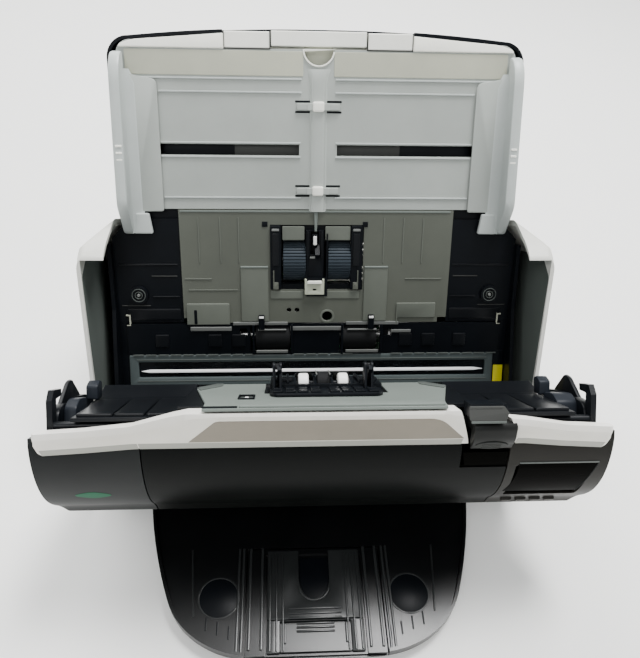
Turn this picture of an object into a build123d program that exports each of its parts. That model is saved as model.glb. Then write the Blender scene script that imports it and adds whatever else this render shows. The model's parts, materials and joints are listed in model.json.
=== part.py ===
"""Sheet fed document scanner, stored with its front cover open.

Row frame: +X to the right, -Y towards the user, +Z up, z = 0 on the table, y = 0 at the cover's hinge line.
Cover pieces are drawn where they lie when the cover is shut, then swung open about the hinge line.
"""

import os
from math import cos, radians, sin

from build123d import *

# ---------------------------------------------------------------- driving dimensions (mm)
HALF_WIDTH = 150.0
BODY_HALF = 146.0
REAR_Y = 142.0
SHOULDER_Z = 152.5
WALL = 2.5
GAP = 0.3
FOOT_HEIGHT = 4.0

HINGE_Z = 24.5
OPEN_ANGLE = 50.0

CHUTE_LEAN = 26.4
CHUTE_HALF = 128.0
CHUTE_TOP = 106.5
SEAM_LEFT = -95.0
SEAM_RIGHT = 95.0
SHOULDER_INNER = 129.5
SIDE_PLATE = 134.0

# paper path of the base, from the chute's foot down to the exit, as (y, z)
CHUTE_FOOT = (83.0, 153.5)
GUIDE_FOOT = (49.8, 84.0)
GLASS_TOP = (39.8, 63.0)
GLASS_FOOT = (27.6, 44.3)
EXIT = (1.0, 25.0)
PATH_HALF = 90.0
GLASS_HALF = 129.0

STACKER_X = -5.0
STACKER_AXIS = (-17.0, 10.5)
STACKER_SLOPE = 1.5
STACKER_FRONT = 142.0

os.makedirs("parts", exist_ok=True)


# ---------------------------------------------------------------- helpers
def keep(shape, name):
    """Label a finished piece and write it."""
    shape.label = name
    export_step(shape, f"parts/{name}.step")


def keep_pair(shape, name):
    """Write a right-hand piece and its mirror image."""
    keep(shape, f"right_{name}")
    keep(mirror(shape, about=Plane.YZ), f"left_{name}")


def group(*shapes):
    """Several pieces kept as separate solids of one node."""
    return Compound([solid for shape in shapes for solid in shape.solids()])


def both_sides(shape):
    """A right-hand piece with its mirror image, as separate solids."""
    return group(shape, mirror(shape, about=Plane.YZ))


COVER_SWING = Location((0, 0, HINGE_Z)) * Location((0, 0, 0), (OPEN_ANGLE, 0, 0)) * Location((0, 0, -HINGE_Z))


def keep_open(shape, name):
    """Write a cover piece after swinging it from shut to open."""
    keep(shape.moved(COVER_SWING), name)


def path_plane(foot, head):
    """Plane on a stretch of the path: x across, y up the path, z off the paper face."""
    rise = Vector(0, head[0] - foot[0], head[1] - foot[1])
    return Plane(origin=(0, foot[0], foot[1]), x_dir=(1, 0, 0), z_dir=Vector(1, 0, 0).cross(rise))


def side(x):
    """Side-view plane at a given x: sketches are (y, z)."""
    return Plane.YZ.offset(x)


def yz(plane, up, out):
    """World (y, z) of a point at given heights up and off a path plane."""
    point = plane.from_local_coords((0, up, out))
    return (point.Y, point.Z)


def span(start, end):
    """Length of a stretch between two (y, z) points."""
    return Vector(end[0] - start[0], end[1] - start[1]).length


def side_plate(points, x_low, x_high):
    """Prism of a side-view outline between two x values."""
    with BuildPart() as prism:
        with BuildSketch(side(x_low)):
            with BuildLine():
                Polyline(*points, close=True)
            make_face()
        extrude(amount=x_high - x_low)
    return prism.part


def rod(centre, radius, x_low, x_high):
    """Round bar along X at a (y, z) centre."""
    with BuildPart() as bar:
        with BuildSketch(side(x_low)):
            with Locations(centre):
                Circle(radius)
        extrude(amount=x_high - x_low)
    return bar.part


def roller(centre, radius, x_low, x_high, bore, rim=0.6):
    """Roller along X with a bore and softened rims."""
    with BuildPart() as wheel:
        with BuildSketch(side(x_low)):
            with Locations(centre):
                Circle(radius)
                Circle(bore, mode=Mode.SUBTRACT)
        extrude(amount=x_high - x_low)
        chamfer(wheel.edges().filter_by(GeomType.CIRCLE).group_by(SortBy.RADIUS)[-1], rim)
    return wheel.part


def belt(centre_a, radius_a, centre_b, radius_b, x_span, thickness=0.8):
    """Closed belt round two pulleys, running free between their flanges."""
    x_low, x_high = x_span[0] + GAP, x_span[1] - GAP
    with BuildPart() as loop:
        with BuildSketch(side(x_low)):
            with Locations(centre_a):
                Circle(radius_a + GAP + thickness)
            with Locations(centre_b):
                Circle(radius_b + GAP + thickness)
            make_hull()
            with BuildSketch(side(x_low), mode=Mode.SUBTRACT):
                with Locations(centre_a):
                    Circle(radius_a + GAP)
                with Locations(centre_b):
                    Circle(radius_b + GAP)
                make_hull()
        extrude(amount=x_high - x_low)
    return loop.part


CHUTE = Plane(
    origin=(0, *CHUTE_FOOT),
    x_dir=(1, 0, 0),
    z_dir=(0, -cos(radians(CHUTE_LEAN)), sin(radians(CHUTE_LEAN))),
)
CHUTE_OUT = Axis(CHUTE.origin, CHUTE.z_dir)
PICK = path_plane(GUIDE_FOOT, CHUTE_FOOT)
FEED = path_plane(GLASS_TOP, GUIDE_FOOT)
GLASS = path_plane(GLASS_FOOT, GLASS_TOP)
OUT = path_plane(EXIT, GLASS_FOOT)
PICK_LENGTH = span(GUIDE_FOOT, CHUTE_FOOT)
FEED_LENGTH = span(GLASS_TOP, GUIDE_FOOT)
GLASS_LENGTH = span(GLASS_FOOT, GLASS_TOP)
OUT_LENGTH = span(EXIT, GLASS_FOOT)

# roller shafts of the base: height up their stretch of the path and radius of the rollers
PICK_UP = 41.8
PICK_ROLLER = 14.0
FEED_UP = 11.5
FEED_ROLLER = 11.0
EJECT_UP = 12.0
EJECT_ROLLER = 9.5
PICK_AXIS = yz(PICK, PICK_UP, 3 - PICK_ROLLER)
FEED_AXIS = yz(FEED, FEED_UP, 2 - FEED_ROLLER)
EJECT_AXIS = yz(OUT, EJECT_UP, 2 - EJECT_ROLLER)
MOTOR_AXIS = (100.0, 52.0)
SHAFT_END = 137.5

# ---------------------------------------------------------------- base: pan, covers, frames
PAN_FRONT = -13.0
PAN_HALF = 142.5
PAN_TOP = 15.0
FOOT_SPOTS = [(-122, 0), (122, 0), (-122, 128), (122, 128)]
FOOT_RADIUS = 8.0
SCREW_SPOTS = [(-100, 60), (100, 60), (-60, 20), (60, 20), (-60, 128), (60, 128)]

with BuildPart() as base_pan:
    with BuildSketch(Plane.XY.offset(FOOT_HEIGHT)):
        with Locations((0, (PAN_FRONT + REAR_Y - WALL) / 2)):
            RectangleRounded(2 * PAN_HALF, REAR_Y - WALL - GAP - PAN_FRONT, 5)
    extrude(amount=PAN_TOP - FOOT_HEIGHT)
    with BuildSketch(Plane.XY.offset(FOOT_HEIGHT + WALL)):
        with Locations((0, (PAN_FRONT + REAR_Y - WALL) / 2)):
            RectangleRounded(2 * PAN_HALF - 2 * WALL, REAR_Y - 3 * WALL - GAP - PAN_FRONT, 3)
    extrude(amount=PAN_TOP, mode=Mode.SUBTRACT)
    with BuildSketch(Plane.XY.offset(FOOT_HEIGHT)):
        with Locations(*FOOT_SPOTS):
            Circle(FOOT_RADIUS + 0.1)
    extrude(amount=1.0, mode=Mode.SUBTRACT)
    with BuildSketch(Plane.XY.offset(FOOT_HEIGHT)):
        with Locations(*SCREW_SPOTS):
            Circle(1.5)
    extrude(amount=WALL, mode=Mode.SUBTRACT)
    for ear in (-112.5, 109.5):
        with BuildSketch(side(STACKER_X + ear)):
            with Locations(STACKER_AXIS):
                Circle(4.5)
            with Locations((STACKER_AXIS[0] + 4, STACKER_AXIS[1])):
                Rectangle(8, 9)
            with Locations(STACKER_AXIS):
                Circle(2.55, mode=Mode.SUBTRACT)
        extrude(amount=3)
keep(base_pan.part, "base_pan")

with BuildPart() as rubber_feet:
    with BuildSketch(Plane.XY):
        with Locations(*FOOT_SPOTS):
            Circle(FOOT_RADIUS)
    extrude(amount=FOOT_HEIGHT + 1.0)
    chamfer(rubber_feet.faces().sort_by(Axis.Z)[:4].edges(), 0.8)
keep(rubber_feet.part, "rubber_feet")

# the rear outer shoulder is cut off by a slanted plane: its direction and its distance from the origin
SHOULDER_CUT = Vector(0.735, 0.376, 0.565)
SHOULDER_CUT_AT = 208.9


def cover_block(inset, x_low):
    """Block of a side cover; an inset gives the hollow inside it, open at the front and below."""
    open_by = 8 if inset else 0
    brow_rise = 0.2 if inset else 0.45
    top = SHOULDER_Z - inset
    back = REAR_Y - inset
    with BuildPart() as block:
        with BuildSketch(side(x_low)):
            with BuildLine():
                front = Polyline(
                    (-16 - open_by, FOOT_HEIGHT - open_by),
                    (-14 - open_by, 30),
                    (37 - open_by, 149.5 - inset),
                )
                brow = TangentArc(front @ 1, (50, top), tangent=(1, brow_rise))
                rear = Polyline(brow @ 1, (84, top - 0.5), (136, 108 - inset), (back, 98 - inset))
                Polyline(rear @ 1, (back, FOOT_HEIGHT - open_by), front @ 0)
            make_face()
        extrude(amount=BODY_HALF - inset - x_low)
        cut = Plane(origin=SHOULDER_CUT * (SHOULDER_CUT_AT - inset), z_dir=SHOULDER_CUT)
        split(bisect_by=cut, keep=Keep.BOTTOM)
        if not inset:
            rim = block.edges().filter_by(lambda e: e.center().Z > 60 and e.center().X > x_low + 1)
            fillet(rim.filter_by(lambda e: e.center().Y > 36), 5)
    return block.part


with BuildPart() as side_cover:
    add(cover_block(0, SHOULDER_INNER))
    add(cover_block(WALL, SHOULDER_INNER - 1), mode=Mode.SUBTRACT)
keep_pair(side_cover.part, "side_cover")

JACK = (-92.0, 40.0)
USB = (-64.0, 38.0)
REAR_LEDGE = [(98, 136), (98, 151), (100, 151), (100, 136.5)]
LEDGE_HALF = 124.0
with BuildPart() as rear_cover:
    with BuildSketch(side(-SHOULDER_INNER + GAP)):
        with BuildLine():
            Polyline(
                (REAR_Y, FOOT_HEIGHT),
                (REAR_Y, 96),
                (REAR_Y - 6, 106),
                (99, 138),
                (97.5, 136),
                (REAR_Y - 8, 104),
                (REAR_Y - WALL, 95),
                (REAR_Y - WALL, FOOT_HEIGHT),
                close=True,
            )
        make_face()
    extrude(amount=2 * (SHOULDER_INNER - GAP))
    add(side_plate(REAR_LEDGE, -LEDGE_HALF, LEDGE_HALF))
    with BuildSketch(Plane.XZ.offset(-REAR_Y)):
        with Locations(JACK):
            Circle(4.2)
        with Locations(USB):
            Rectangle(12.4, 11.4)
        with Locations((40, 66)):
            with GridLocations(0, 6, 1, 7):
                SlotOverall(90, 2.4)
    extrude(amount=WALL, mode=Mode.SUBTRACT)
keep(rear_cover.part, "rear_cover")

PLATE_OUTLINE = [
    (-8, 8), (-8, 26), (6, 36), (24, 62), (36, 78), (50, 96), (70, 135), (84, 126), (124, 98), (124, 8),
]
FLANGE_LOW = PATH_HALF + GAP
with BuildPart() as inner_frame:
    add(side_plate(PLATE_OUTLINE, SIDE_PLATE, SIDE_PLATE + WALL))
    add(rod((0, HINGE_Z), 8, SIDE_PLATE, SIDE_PLATE + 4.5))
    add(rod((0, HINGE_Z), 4, SIDE_PLATE, SIDE_PLATE + 9))
    with BuildSketch(PICK.offset(-1)):
        with BuildLine():
            Polyline(
                (FLANGE_LOW, 0.2), (SIDE_PLATE, 0.2), (SIDE_PLATE, 58), (122, 71), (FLANGE_LOW, 71), close=True
            )
        make_face()
    extrude(amount=-WALL)
    with BuildSketch(FEED.offset(-1)):
        with Locations(((GLASS_HALF + GAP + SIDE_PLATE) / 2, FEED_LENGTH / 2)):
            Rectangle(SIDE_PLATE - GLASS_HALF - GAP, FEED_LENGTH)
    extrude(amount=-WALL)
    with BuildSketch(GLASS.offset(-1)):
        with Locations(((GLASS_HALF + GAP + SIDE_PLATE) / 2, GLASS_LENGTH / 2)):
            Rectangle(SIDE_PLATE - GLASS_HALF - GAP, GLASS_LENGTH + 2)
    extrude(amount=-WALL)
    with BuildSketch(PICK.offset(-1)):
        with Locations((119, 20)):
            Circle(6)
            Circle(3.2, mode=Mode.SUBTRACT)
    extrude(amount=2.5)
    for axis, bore in ((PICK_AXIS, 3.05), (FEED_AXIS, 3.05), (EJECT_AXIS, 2.05)):
        add(rod(axis, bore, SIDE_PLATE - 1, SIDE_PLATE + 5), mode=Mode.SUBTRACT)
keep(both_sides(inner_frame.part), "inner_frames")

# ---------------------------------------------------------------- base: paper path
with BuildPart() as pick_guide:
    with BuildSketch(PICK):
        with Locations((0, PICK_LENGTH / 2)):
            Rectangle(2 * PATH_HALF, PICK_LENGTH)
        with Locations((0, PICK_UP + 3.5)):
            Rectangle(62, 44, mode=Mode.SUBTRACT)
        with Locations((-PATH_HALF, 0), (PATH_HALF, 0)):
            Rectangle(12, 7, mode=Mode.SUBTRACT)
        with Locations((-18.8, 9), (-13.3, 9)):
            Circle(1.6, mode=Mode.SUBTRACT)
        with Locations((7.4, 4.4)):
            Circle(3.4, mode=Mode.SUBTRACT)
    extrude(amount=-2)
keep(pick_guide.part, "pick_guide")

with BuildPart() as feed_bed:
    with BuildSketch(FEED):
        with Locations((0, FEED_LENGTH / 2 - 0.2)):
            Rectangle(2 * GLASS_HALF, FEED_LENGTH - 1.0)
        with Locations((-31, FEED_UP), (31, FEED_UP)):
            Rectangle(29, 18.8, mode=Mode.SUBTRACT)
        with Locations((-50, 16), (50, 16)):
            Rectangle(5, 6, mode=Mode.SUBTRACT)
    extrude(amount=-WALL)
keep(feed_bed.part, "feed_bed")

WINDOW = (224.0, 12.4)
with BuildPart() as glass_frame:
    with BuildSketch(GLASS):
        with Locations((0, GLASS_LENGTH / 2)):
            Rectangle(2 * GLASS_HALF, GLASS_LENGTH - 1.0)
            Rectangle(*WINDOW, mode=Mode.SUBTRACT)
    extrude(amount=-4)
    chamfer(glass_frame.faces().sort_by(Axis((0, 0, 0), (0, -0.84, 0.55)))[-1].edges(), 0.7)
keep(glass_frame.part, "rear_glass_frame")


def scan_stack(plane, way):
    """Glass, light bar and optical unit behind a window; way is -1 below the plane, +1 above it."""
    stack = []
    for width, height, low, depth in (
        (WINDOW[0] - 0.4, WINDOW[1] - 0.4, 1.2, 1.5),
        (WINDOW[0] - 6, 5.2, 3.0, 3.5),
        (232, 17, 8.0, 18.0),
    ):
        with BuildPart() as layer:
            with BuildSketch(plane.offset(way * low)):
                with Locations((0, GLASS_LENGTH / 2)):
                    Rectangle(width, height)
            extrude(amount=way * depth)
        stack.append(layer.part)
    return stack


for shape, name in zip(scan_stack(GLASS, -1), ("rear_glass", "rear_light_bar", "rear_optical_unit")):
    keep(shape, name)

LIP = [EXIT, (-11.5, 19.0), (-11.5, 16.0), (-9.0, 16.0), (2.5, 22.6)]
with BuildPart() as exit_guide:
    with BuildSketch(OUT):
        with Locations((0, OUT_LENGTH / 2)):
            Rectangle(2 * GLASS_HALF, OUT_LENGTH)
        with Locations((-50, EJECT_UP), (50, EJECT_UP)):
            Rectangle(25, 21, mode=Mode.SUBTRACT)
    extrude(amount=-WALL)
    add(side_plate(LIP, -GLASS_HALF, GLASS_HALF))
keep(exit_guide.part, "exit_guide")

# ---------------------------------------------------------------- base: rollers and drives
BELT_X = (118.0, 124.0)
PICK_BELT_X = (46.0, 51.0)
EJECT_BELT_X = (126.0, 131.0)


def pulley(axis, bore, x_low, x_high, radius):
    """Belt pulley with two flanges."""
    with BuildPart() as wheel:
        with BuildSketch(side(x_low)):
            with Locations(axis):
                Circle(radius)
        extrude(amount=x_high - x_low)
        for x in (x_low - 1.2, x_high):
            with BuildSketch(side(x)):
                with Locations(axis):
                    Circle(radius + 1.2)
            extrude(amount=1.2)
        with BuildSketch(side(x_low - 2)):
            with Locations(axis):
                Circle(bore)
        extrude(amount=x_high - x_low + 4, mode=Mode.SUBTRACT)
    return wheel.part


def motor(axis, radius, x_low, x_high):
    """Can motor with a mounting flange on its shaft side."""
    with BuildPart() as can:
        with BuildSketch(side(x_low)):
            with Locations(axis):
                Circle(radius)
        extrude(amount=x_high - x_low)
        chamfer(can.edges().filter_by(GeomType.CIRCLE), 1.2)
        with BuildSketch(side(x_high)):
            with Locations(axis):
                RectangleRounded(2 * radius + 12, 2 * radius, 4)
                Circle(3.2, mode=Mode.SUBTRACT)
        extrude(amount=1.5)
    return can.part


keep(group(rod(PICK_AXIS, 3, -SHAFT_END, SHAFT_END), pulley(PICK_AXIS, 3, *PICK_BELT_X, 7)), "pick_shaft")
keep(group(*[roller(PICK_AXIS, PICK_ROLLER, x, x + 15, 3) for x in (-22.5, 7.5)]), "pick_rollers")

feed_pulleys = [
    pulley(FEED_AXIS, 3, *BELT_X, 5),
    pulley(FEED_AXIS, 3, *PICK_BELT_X, 5),
]
keep(group(rod(FEED_AXIS, 3, -SHAFT_END, SHAFT_END), *feed_pulleys), "feed_shaft")
keep(group(*[roller(FEED_AXIS, FEED_ROLLER, x, x + 24, 3) for x in (-42, 18)]), "feed_rollers")

eject_pulley = pulley(EJECT_AXIS, 2, *EJECT_BELT_X, 3.6)
keep(group(rod(EJECT_AXIS, 2, -SHAFT_END, SHAFT_END), eject_pulley), "eject_shaft")
keep(group(*[roller(EJECT_AXIS, EJECT_ROLLER, x, x + 22, 2) for x in (-61, 39)]), "eject_rollers")

keep(motor(MOTOR_AXIS, 17, 86, 112), "feed_motor")
motor_pulleys = [pulley(MOTOR_AXIS, 1.5, *span_x, 5) for span_x in (BELT_X, EJECT_BELT_X)]
keep(group(rod(MOTOR_AXIS, 1.5, 113.8, 133), *motor_pulleys), "motor_pulley")
belts = [
    belt(FEED_AXIS, 5, MOTOR_AXIS, 5, BELT_X),
    belt(FEED_AXIS, 5, PICK_AXIS, 7, PICK_BELT_X),
    belt(MOTOR_AXIS, 5, EJECT_AXIS, 3.6, EJECT_BELT_X),
]
keep(group(*belts), "drive_belts")

# page sensor lever between the pick rollers, and the clip plate below them
LEVER_AXIS = yz(PICK, PICK_UP + 14, -6)
with BuildPart() as sensor_lever:
    add(roller(LEVER_AXIS, 2.6, -6, 6, 1.55, 0.3))
    with BuildSketch(side(-1.5)):
        with BuildLine():
            Polyline(
                yz(PICK, PICK_UP + 12.5, -4.5),
                yz(PICK, PICK_UP + 4, 6),
                yz(PICK, PICK_UP + 7, 7),
                yz(PICK, PICK_UP + 16, -4.5),
                close=True,
            )
        make_face()
    extrude(amount=3)
keep(sensor_lever.part, "page_sensor_lever")

with BuildPart() as pick_bracket:
    for x in (-7, 6.2):
        with BuildSketch(side(x)):
            with BuildLine():
                Polyline(
                    yz(PICK, PICK_UP - 17, -3),
                    yz(PICK, PICK_UP - 17, 2),
                    yz(PICK, PICK_UP + 20, 2),
                    yz(PICK, PICK_UP + 20, -9),
                    yz(PICK, PICK_UP - 4, -2),
                    close=True,
                )
            make_face()
        extrude(amount=0.8)
    with BuildSketch(PICK.offset(1.2)):
        with Locations((0, PICK_UP - 16)):
            Rectangle(14, 13)
    extrude(amount=0.8)
    add(rod(LEVER_AXIS, 1.5, -7, 7))
    for x in (-31, 24):
        with BuildSketch(PICK.offset(-2)):
            with Locations((x + 3.5, PICK_UP + 3.5)):
                Rectangle(6, 43)
        extrude(amount=3)
    with BuildSketch(PICK.offset(-6.5)):
        with Locations((0, PICK_UP + 24)):
            Rectangle(62, 5)
        with Locations((0, PICK_UP - 17)):
            Rectangle(62, 4.5)
    extrude(amount=4.5)
keep(pick_bracket.part, "pick_bracket")

# ---------------------------------------------------------------- base: electronics and screws
with BuildPart() as main_board:
    with BuildSketch(Plane.XY.offset(12)):
        with Locations((-20, 108)):
            Rectangle(190, 56)
    extrude(amount=1.6)
    with BuildSketch(Plane.XY.offset(13.6)):
        with Locations((-60, 105), (0, 112), (38, 98)):
            Rectangle(22, 22)
    extrude(amount=2.2)
    with BuildSketch(Plane.XY.offset(FOOT_HEIGHT + WALL)):
        with Locations((-110, 84), (70, 84), (-110, 132), (70, 132)):
            Circle(3)
    extrude(until=Until.NEXT)
keep(main_board.part, "main_board")

with BuildPart() as power_jack:
    with BuildSketch(Plane.XZ.offset(-REAR_Y + 0.5)):
        with Locations(JACK):
            Circle(4.0)
            Circle(2.8, mode=Mode.SUBTRACT)
    extrude(amount=12)
    with BuildSketch(Plane.XZ.offset(-REAR_Y + WALL + 0.5)):
        with Locations(JACK):
            Rectangle(11, 11)
            Circle(2.8, mode=Mode.SUBTRACT)
    extrude(amount=10)
    with BuildSketch(Plane.XZ.offset(-REAR_Y + 12.5)):
        with Locations(JACK):
            Rectangle(11, 11)
    extrude(amount=1.5)
    with BuildSketch(Plane.XZ.offset(-REAR_Y + 2)):
        with Locations(JACK):
            Circle(1.0)
    extrude(amount=11)

with BuildPart() as usb_port:
    with BuildSketch(Plane.XZ.offset(-REAR_Y + 0.5)):
        with Locations(USB):
            Rectangle(12, 11)
            Rectangle(10.4, 9.4, mode=Mode.SUBTRACT)
    extrude(amount=14)
    with BuildSketch(Plane.XZ.offset(-REAR_Y + 13)):
        with Locations(USB):
            Rectangle(12, 11)
    extrude(amount=1.5)
    with BuildSketch(Plane.XZ.offset(-REAR_Y + 2)):
        with Locations(USB):
            Rectangle(5.4, 3.2)
    extrude(amount=11.5)
keep(group(power_jack.part, usb_port.part), "rear_ports")

with BuildPart() as base_screws:
    with BuildSketch(Plane.XY.offset(FOOT_HEIGHT - 1.2)):
        with Locations(*SCREW_SPOTS):
            Circle(2.8)
    extrude(amount=1.2)
    with BuildSketch(Plane.XY.offset(FOOT_HEIGHT)):
        with Locations(*SCREW_SPOTS):
            Circle(1.5)
    extrude(amount=6)
keep(base_screws.part, "base_screws")

# ---------------------------------------------------------------- paper chute
SLOT_UP = 37.5
with BuildPart() as chute_tray:
    with BuildSketch(CHUTE):
        with BuildLine():
            right = Polyline((0, 0.4), (122, 0.4), (122, 92))
            bend = TangentArc(right @ 1, (112, 100.5), tangent=(0, 1))
            crest = Line(bend @ 1, (58, CHUTE_TOP - 1.5))
            Polyline(crest @ 1, (58, 96.5), (0, 96.5))
            mirror(about=Plane.YZ)
        make_face()
        with Locations((-66.5, SLOT_UP), (66.5, SLOT_UP)):
            Rectangle(109, 6.6, mode=Mode.SUBTRACT)
        with Locations((0, 96.5)):
            Circle(9, mode=Mode.SUBTRACT)
    extrude(amount=-2.2)
    with BuildSketch(CHUTE):
        with Locations((0, 40)):
            Rectangle(9, 80)
    extrude(amount=1.2)
    with BuildSketch(CHUTE):
        with Locations((0, 12.2), (0, 63.6)):
            Rectangle(14, 4)
    extrude(amount=2.2)
keep(chute_tray.part, "chute_tray")

BACK_DEPTH = 13.0


def back_outline(inset):
    """Outline of the back shell on the chute's plane, drawn in by an inset."""
    half = CHUTE_HALF - inset
    with BuildSketch() as outline:
        with BuildLine():
            right = Polyline((0, 1.5 + inset), (half, 1.5 + inset), (half, 90))
            bend = TangentArc(right @ 1, (115 - inset, 103 - inset), tangent=(0, 1))
            ThreePointArc(bend @ 1, (60, 107.2 - inset), (0, 108.5 - inset))
            mirror(about=Plane.YZ)
        make_face()
    return outline.sketch


with BuildPart() as chute_back:
    with BuildSketch(CHUTE.offset(-2.5)):
        add(back_outline(0))
    extrude(amount=2.5 - BACK_DEPTH)
    fillet(chute_back.faces().sort_by(CHUTE_OUT)[0].edges().filter_by(lambda e: e.center().Z > 160), 4)
    with BuildSketch(CHUTE.offset(-2.5)):
        add(back_outline(2))
    extrude(amount=4.5 - BACK_DEPTH, mode=Mode.SUBTRACT)
    with BuildSketch(CHUTE.offset(-2.5)):
        with Locations((0, 106)):
            Rectangle(117, 10)
    extrude(amount=-5.7, mode=Mode.SUBTRACT)
    with BuildSketch(CHUTE.offset(-4.5)):
        with Locations((-104, -4), (104, -4)):
            Rectangle(16, 15)
    extrude(amount=4.5 - BACK_DEPTH)
keep(chute_back.part, "chute_back")

with BuildPart() as chute_extension_outer:
    with BuildSketch(CHUTE.offset(-4.2)):
        with Locations((0, 53)):
            Rectangle(112, 86)
    extrude(amount=-1.4)
    with BuildSketch(CHUTE.offset(-5.6)):
        with Locations((-43.5, 101.5), (43.5, 101.5)):
            Rectangle(27.6, 9.4)
    extrude(amount=5.6)
    with BuildSketch(CHUTE.offset(-5.6)):
        with Locations((0, 95)):
            Rectangle(112, 6)
    extrude(amount=1.4)
keep(chute_extension_outer.part, "chute_extension_outer")

with BuildPart() as chute_extension_inner:
    with BuildSketch(CHUTE.offset(-6.2)):
        with Locations((0, 59)):
            Rectangle(56, 82)
    extrude(amount=-1.4)
    with BuildSketch(CHUTE.offset(-7.6)):
        with Locations((0, 102.5)):
            Rectangle(58.2, 8.6)
    extrude(amount=7.6)
keep(chute_extension_inner.part, "chute_extension_inner")

GUIDE_WALL = (117.5, 124.2)
FLANGE_INNER = 98.5
with BuildPart() as side_guide:
    with BuildSketch(side(GUIDE_WALL[0])):
        with BuildLine():
            rear = Line(yz(CHUTE, 94, 0.6), yz(CHUTE, -15, 0.6))
            foot = Polyline(rear @ 1, yz(CHUTE, -15, 6), yz(CHUTE, 4, 20), yz(CHUTE, 84, 15))
            ThreePointArc(foot @ 1, yz(CHUTE, 92, 11), rear @ 0)
        make_face()
    extrude(amount=GUIDE_WALL[1] - GUIDE_WALL[0])
    with BuildSketch(side(GUIDE_WALL[0] + 1.8)):
        with BuildLine():
            Polyline(yz(CHUTE, 82, -1), yz(CHUTE, -16, -1), yz(CHUTE, 4, 18), yz(CHUTE, 82, 13), close=True)
        make_face()
    extrude(amount=8, mode=Mode.SUBTRACT)
    with BuildSketch(CHUTE.offset(0.6)):
        with Locations(((FLANGE_INNER + GUIDE_WALL[0]) / 2, 39)):
            Rectangle(GUIDE_WALL[0] - FLANGE_INNER, 78)
    extrude(amount=1.6)
    with BuildSketch(CHUTE.offset(0.6)):
        with Locations((112, SLOT_UP)):
            Rectangle(8, 6)
    extrude(amount=-3.9)
keep_pair(side_guide.part, "side_guide")

# ---------------------------------------------------------------- front cover: outer pieces
BAND_FRONT = (24.0, 150.0)
BAND_REAR = 43.0
RIDGE = (38.5, 163.0)
NOSE = (-23.5, 103.5)
FACE_MID = (2.2, 136.7)
FACE_LOW = (-17.7, 112.3)
BAND_HIGH = 69.0
RIGHT_BAND_LOW = 89.0


def pod_outline(inset):
    """Side view of the black front face, nose and underside, closed at the back."""
    with BuildSketch() as outline:
        with BuildLine():
            face = ThreePointArc((BAND_FRONT[0], BAND_FRONT[1] - 4), FACE_MID, FACE_LOW)
            nose = TangentArc(face @ 1, NOSE, tangent=face % 1)
            chin = TangentArc(nose @ 1, (-15, 94), tangent=nose % 1)
            Polyline(chin @ 1, (10, 91), (28, 140), (28, 146), face @ 0)
        make_face()
        if inset:
            offset(amount=-inset, mode=Mode.REPLACE)
            with Locations((8, 0)):
                add(outline.sketch)
    return outline.sketch


def front_block(inset, x_low, x_high, corner=0):
    """Block of the front between two x values; corner rounds its lower outer edge, as seen from the front."""
    with BuildPart() as block:
        with BuildSketch(side(x_low)):
            add(pod_outline(inset))
        extrude(amount=x_high - x_low)
        if corner:
            with BuildSketch(Plane.XZ):
                with BuildLine():
                    edge = Polyline((x_low - 1, 170), (x_high, 170), (x_high, 128))
                    curve = Spline((x_high - corner, 90 + inset), edge @ 1, tangents=[(1, 0), (0, 1)])
                    Polyline(curve @ 0, (x_low - 1, 90 + inset), edge @ 0)
                make_face()
            extrude(amount=60, both=True, mode=Mode.INTERSECT)
    return block.part


LCD_CENTRE = 120.6
LCD_SIZE = (41.0, 31.0)
LCD_LOW = (-13.5, 118.5)
LCD_HIGH = (9.0, 140.6)
LCD = path_plane(LCD_LOW, LCD_HIGH)
LCD_UP = span(LCD_LOW, LCD_HIGH) / 2
BUTTON_PLANE = path_plane(NOSE, FACE_LOW)
BUTTON_UP = span(NOSE, FACE_LOW) * 0.5
BUTTON_XS = (106.0, 114.5, 123.0, 131.5)

TAB_POCKET = [(8, 138), (8, 160), (40, 160), (40, 130)]
with BuildPart() as front_cover:
    add(front_block(0, SEAM_LEFT + GAP, SEAM_RIGHT - GAP))
    add(front_block(WALL, SEAM_LEFT - 1, SEAM_RIGHT + 1), mode=Mode.SUBTRACT)
    add(side_plate(TAB_POCKET, BAND_HIGH + 0.6, SEAM_RIGHT), mode=Mode.SUBTRACT)
keep_open(front_cover.part, "front_cover")

with BuildPart() as pod_cover:
    add(front_block(0, -SEAM_LEFT + GAP, HALF_WIDTH, 28))
    add(front_block(WALL, -SEAM_LEFT - 1, HALF_WIDTH - WALL, 26), mode=Mode.SUBTRACT)
keep_open(mirror(pod_cover.part, about=Plane.YZ), "left_pod_cover")

with BuildPart() as operator_panel:
    add(front_block(0, SEAM_RIGHT + GAP, HALF_WIDTH, 28))
    add(front_block(WALL, SEAM_RIGHT - 1, HALF_WIDTH - WALL, 26), mode=Mode.SUBTRACT)
    with BuildSketch(LCD.offset(-6)):
        with Locations((LCD_CENTRE, LCD_UP)):
            RectangleRounded(LCD_SIZE[0] + 0.4, LCD_SIZE[1] + 0.4, 1.5)
    extrude(amount=12, mode=Mode.SUBTRACT)
    with BuildSketch(BUTTON_PLANE.offset(-5)):
        with Locations(*[(x, BUTTON_UP) for x in BUTTON_XS]):
            RectangleRounded(6.6, 3.8, 1.2)
    extrude(amount=10, mode=Mode.SUBTRACT)
keep_open(operator_panel.part, "operator_panel")

with BuildPart() as display_window:
    with BuildSketch(LCD.offset(-1.8)):
        with Locations((LCD_CENTRE, LCD_UP)):
            RectangleRounded(*LCD_SIZE, 1.3)
    extrude(amount=1.6)
keep_open(display_window.part, "display_window")

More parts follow.
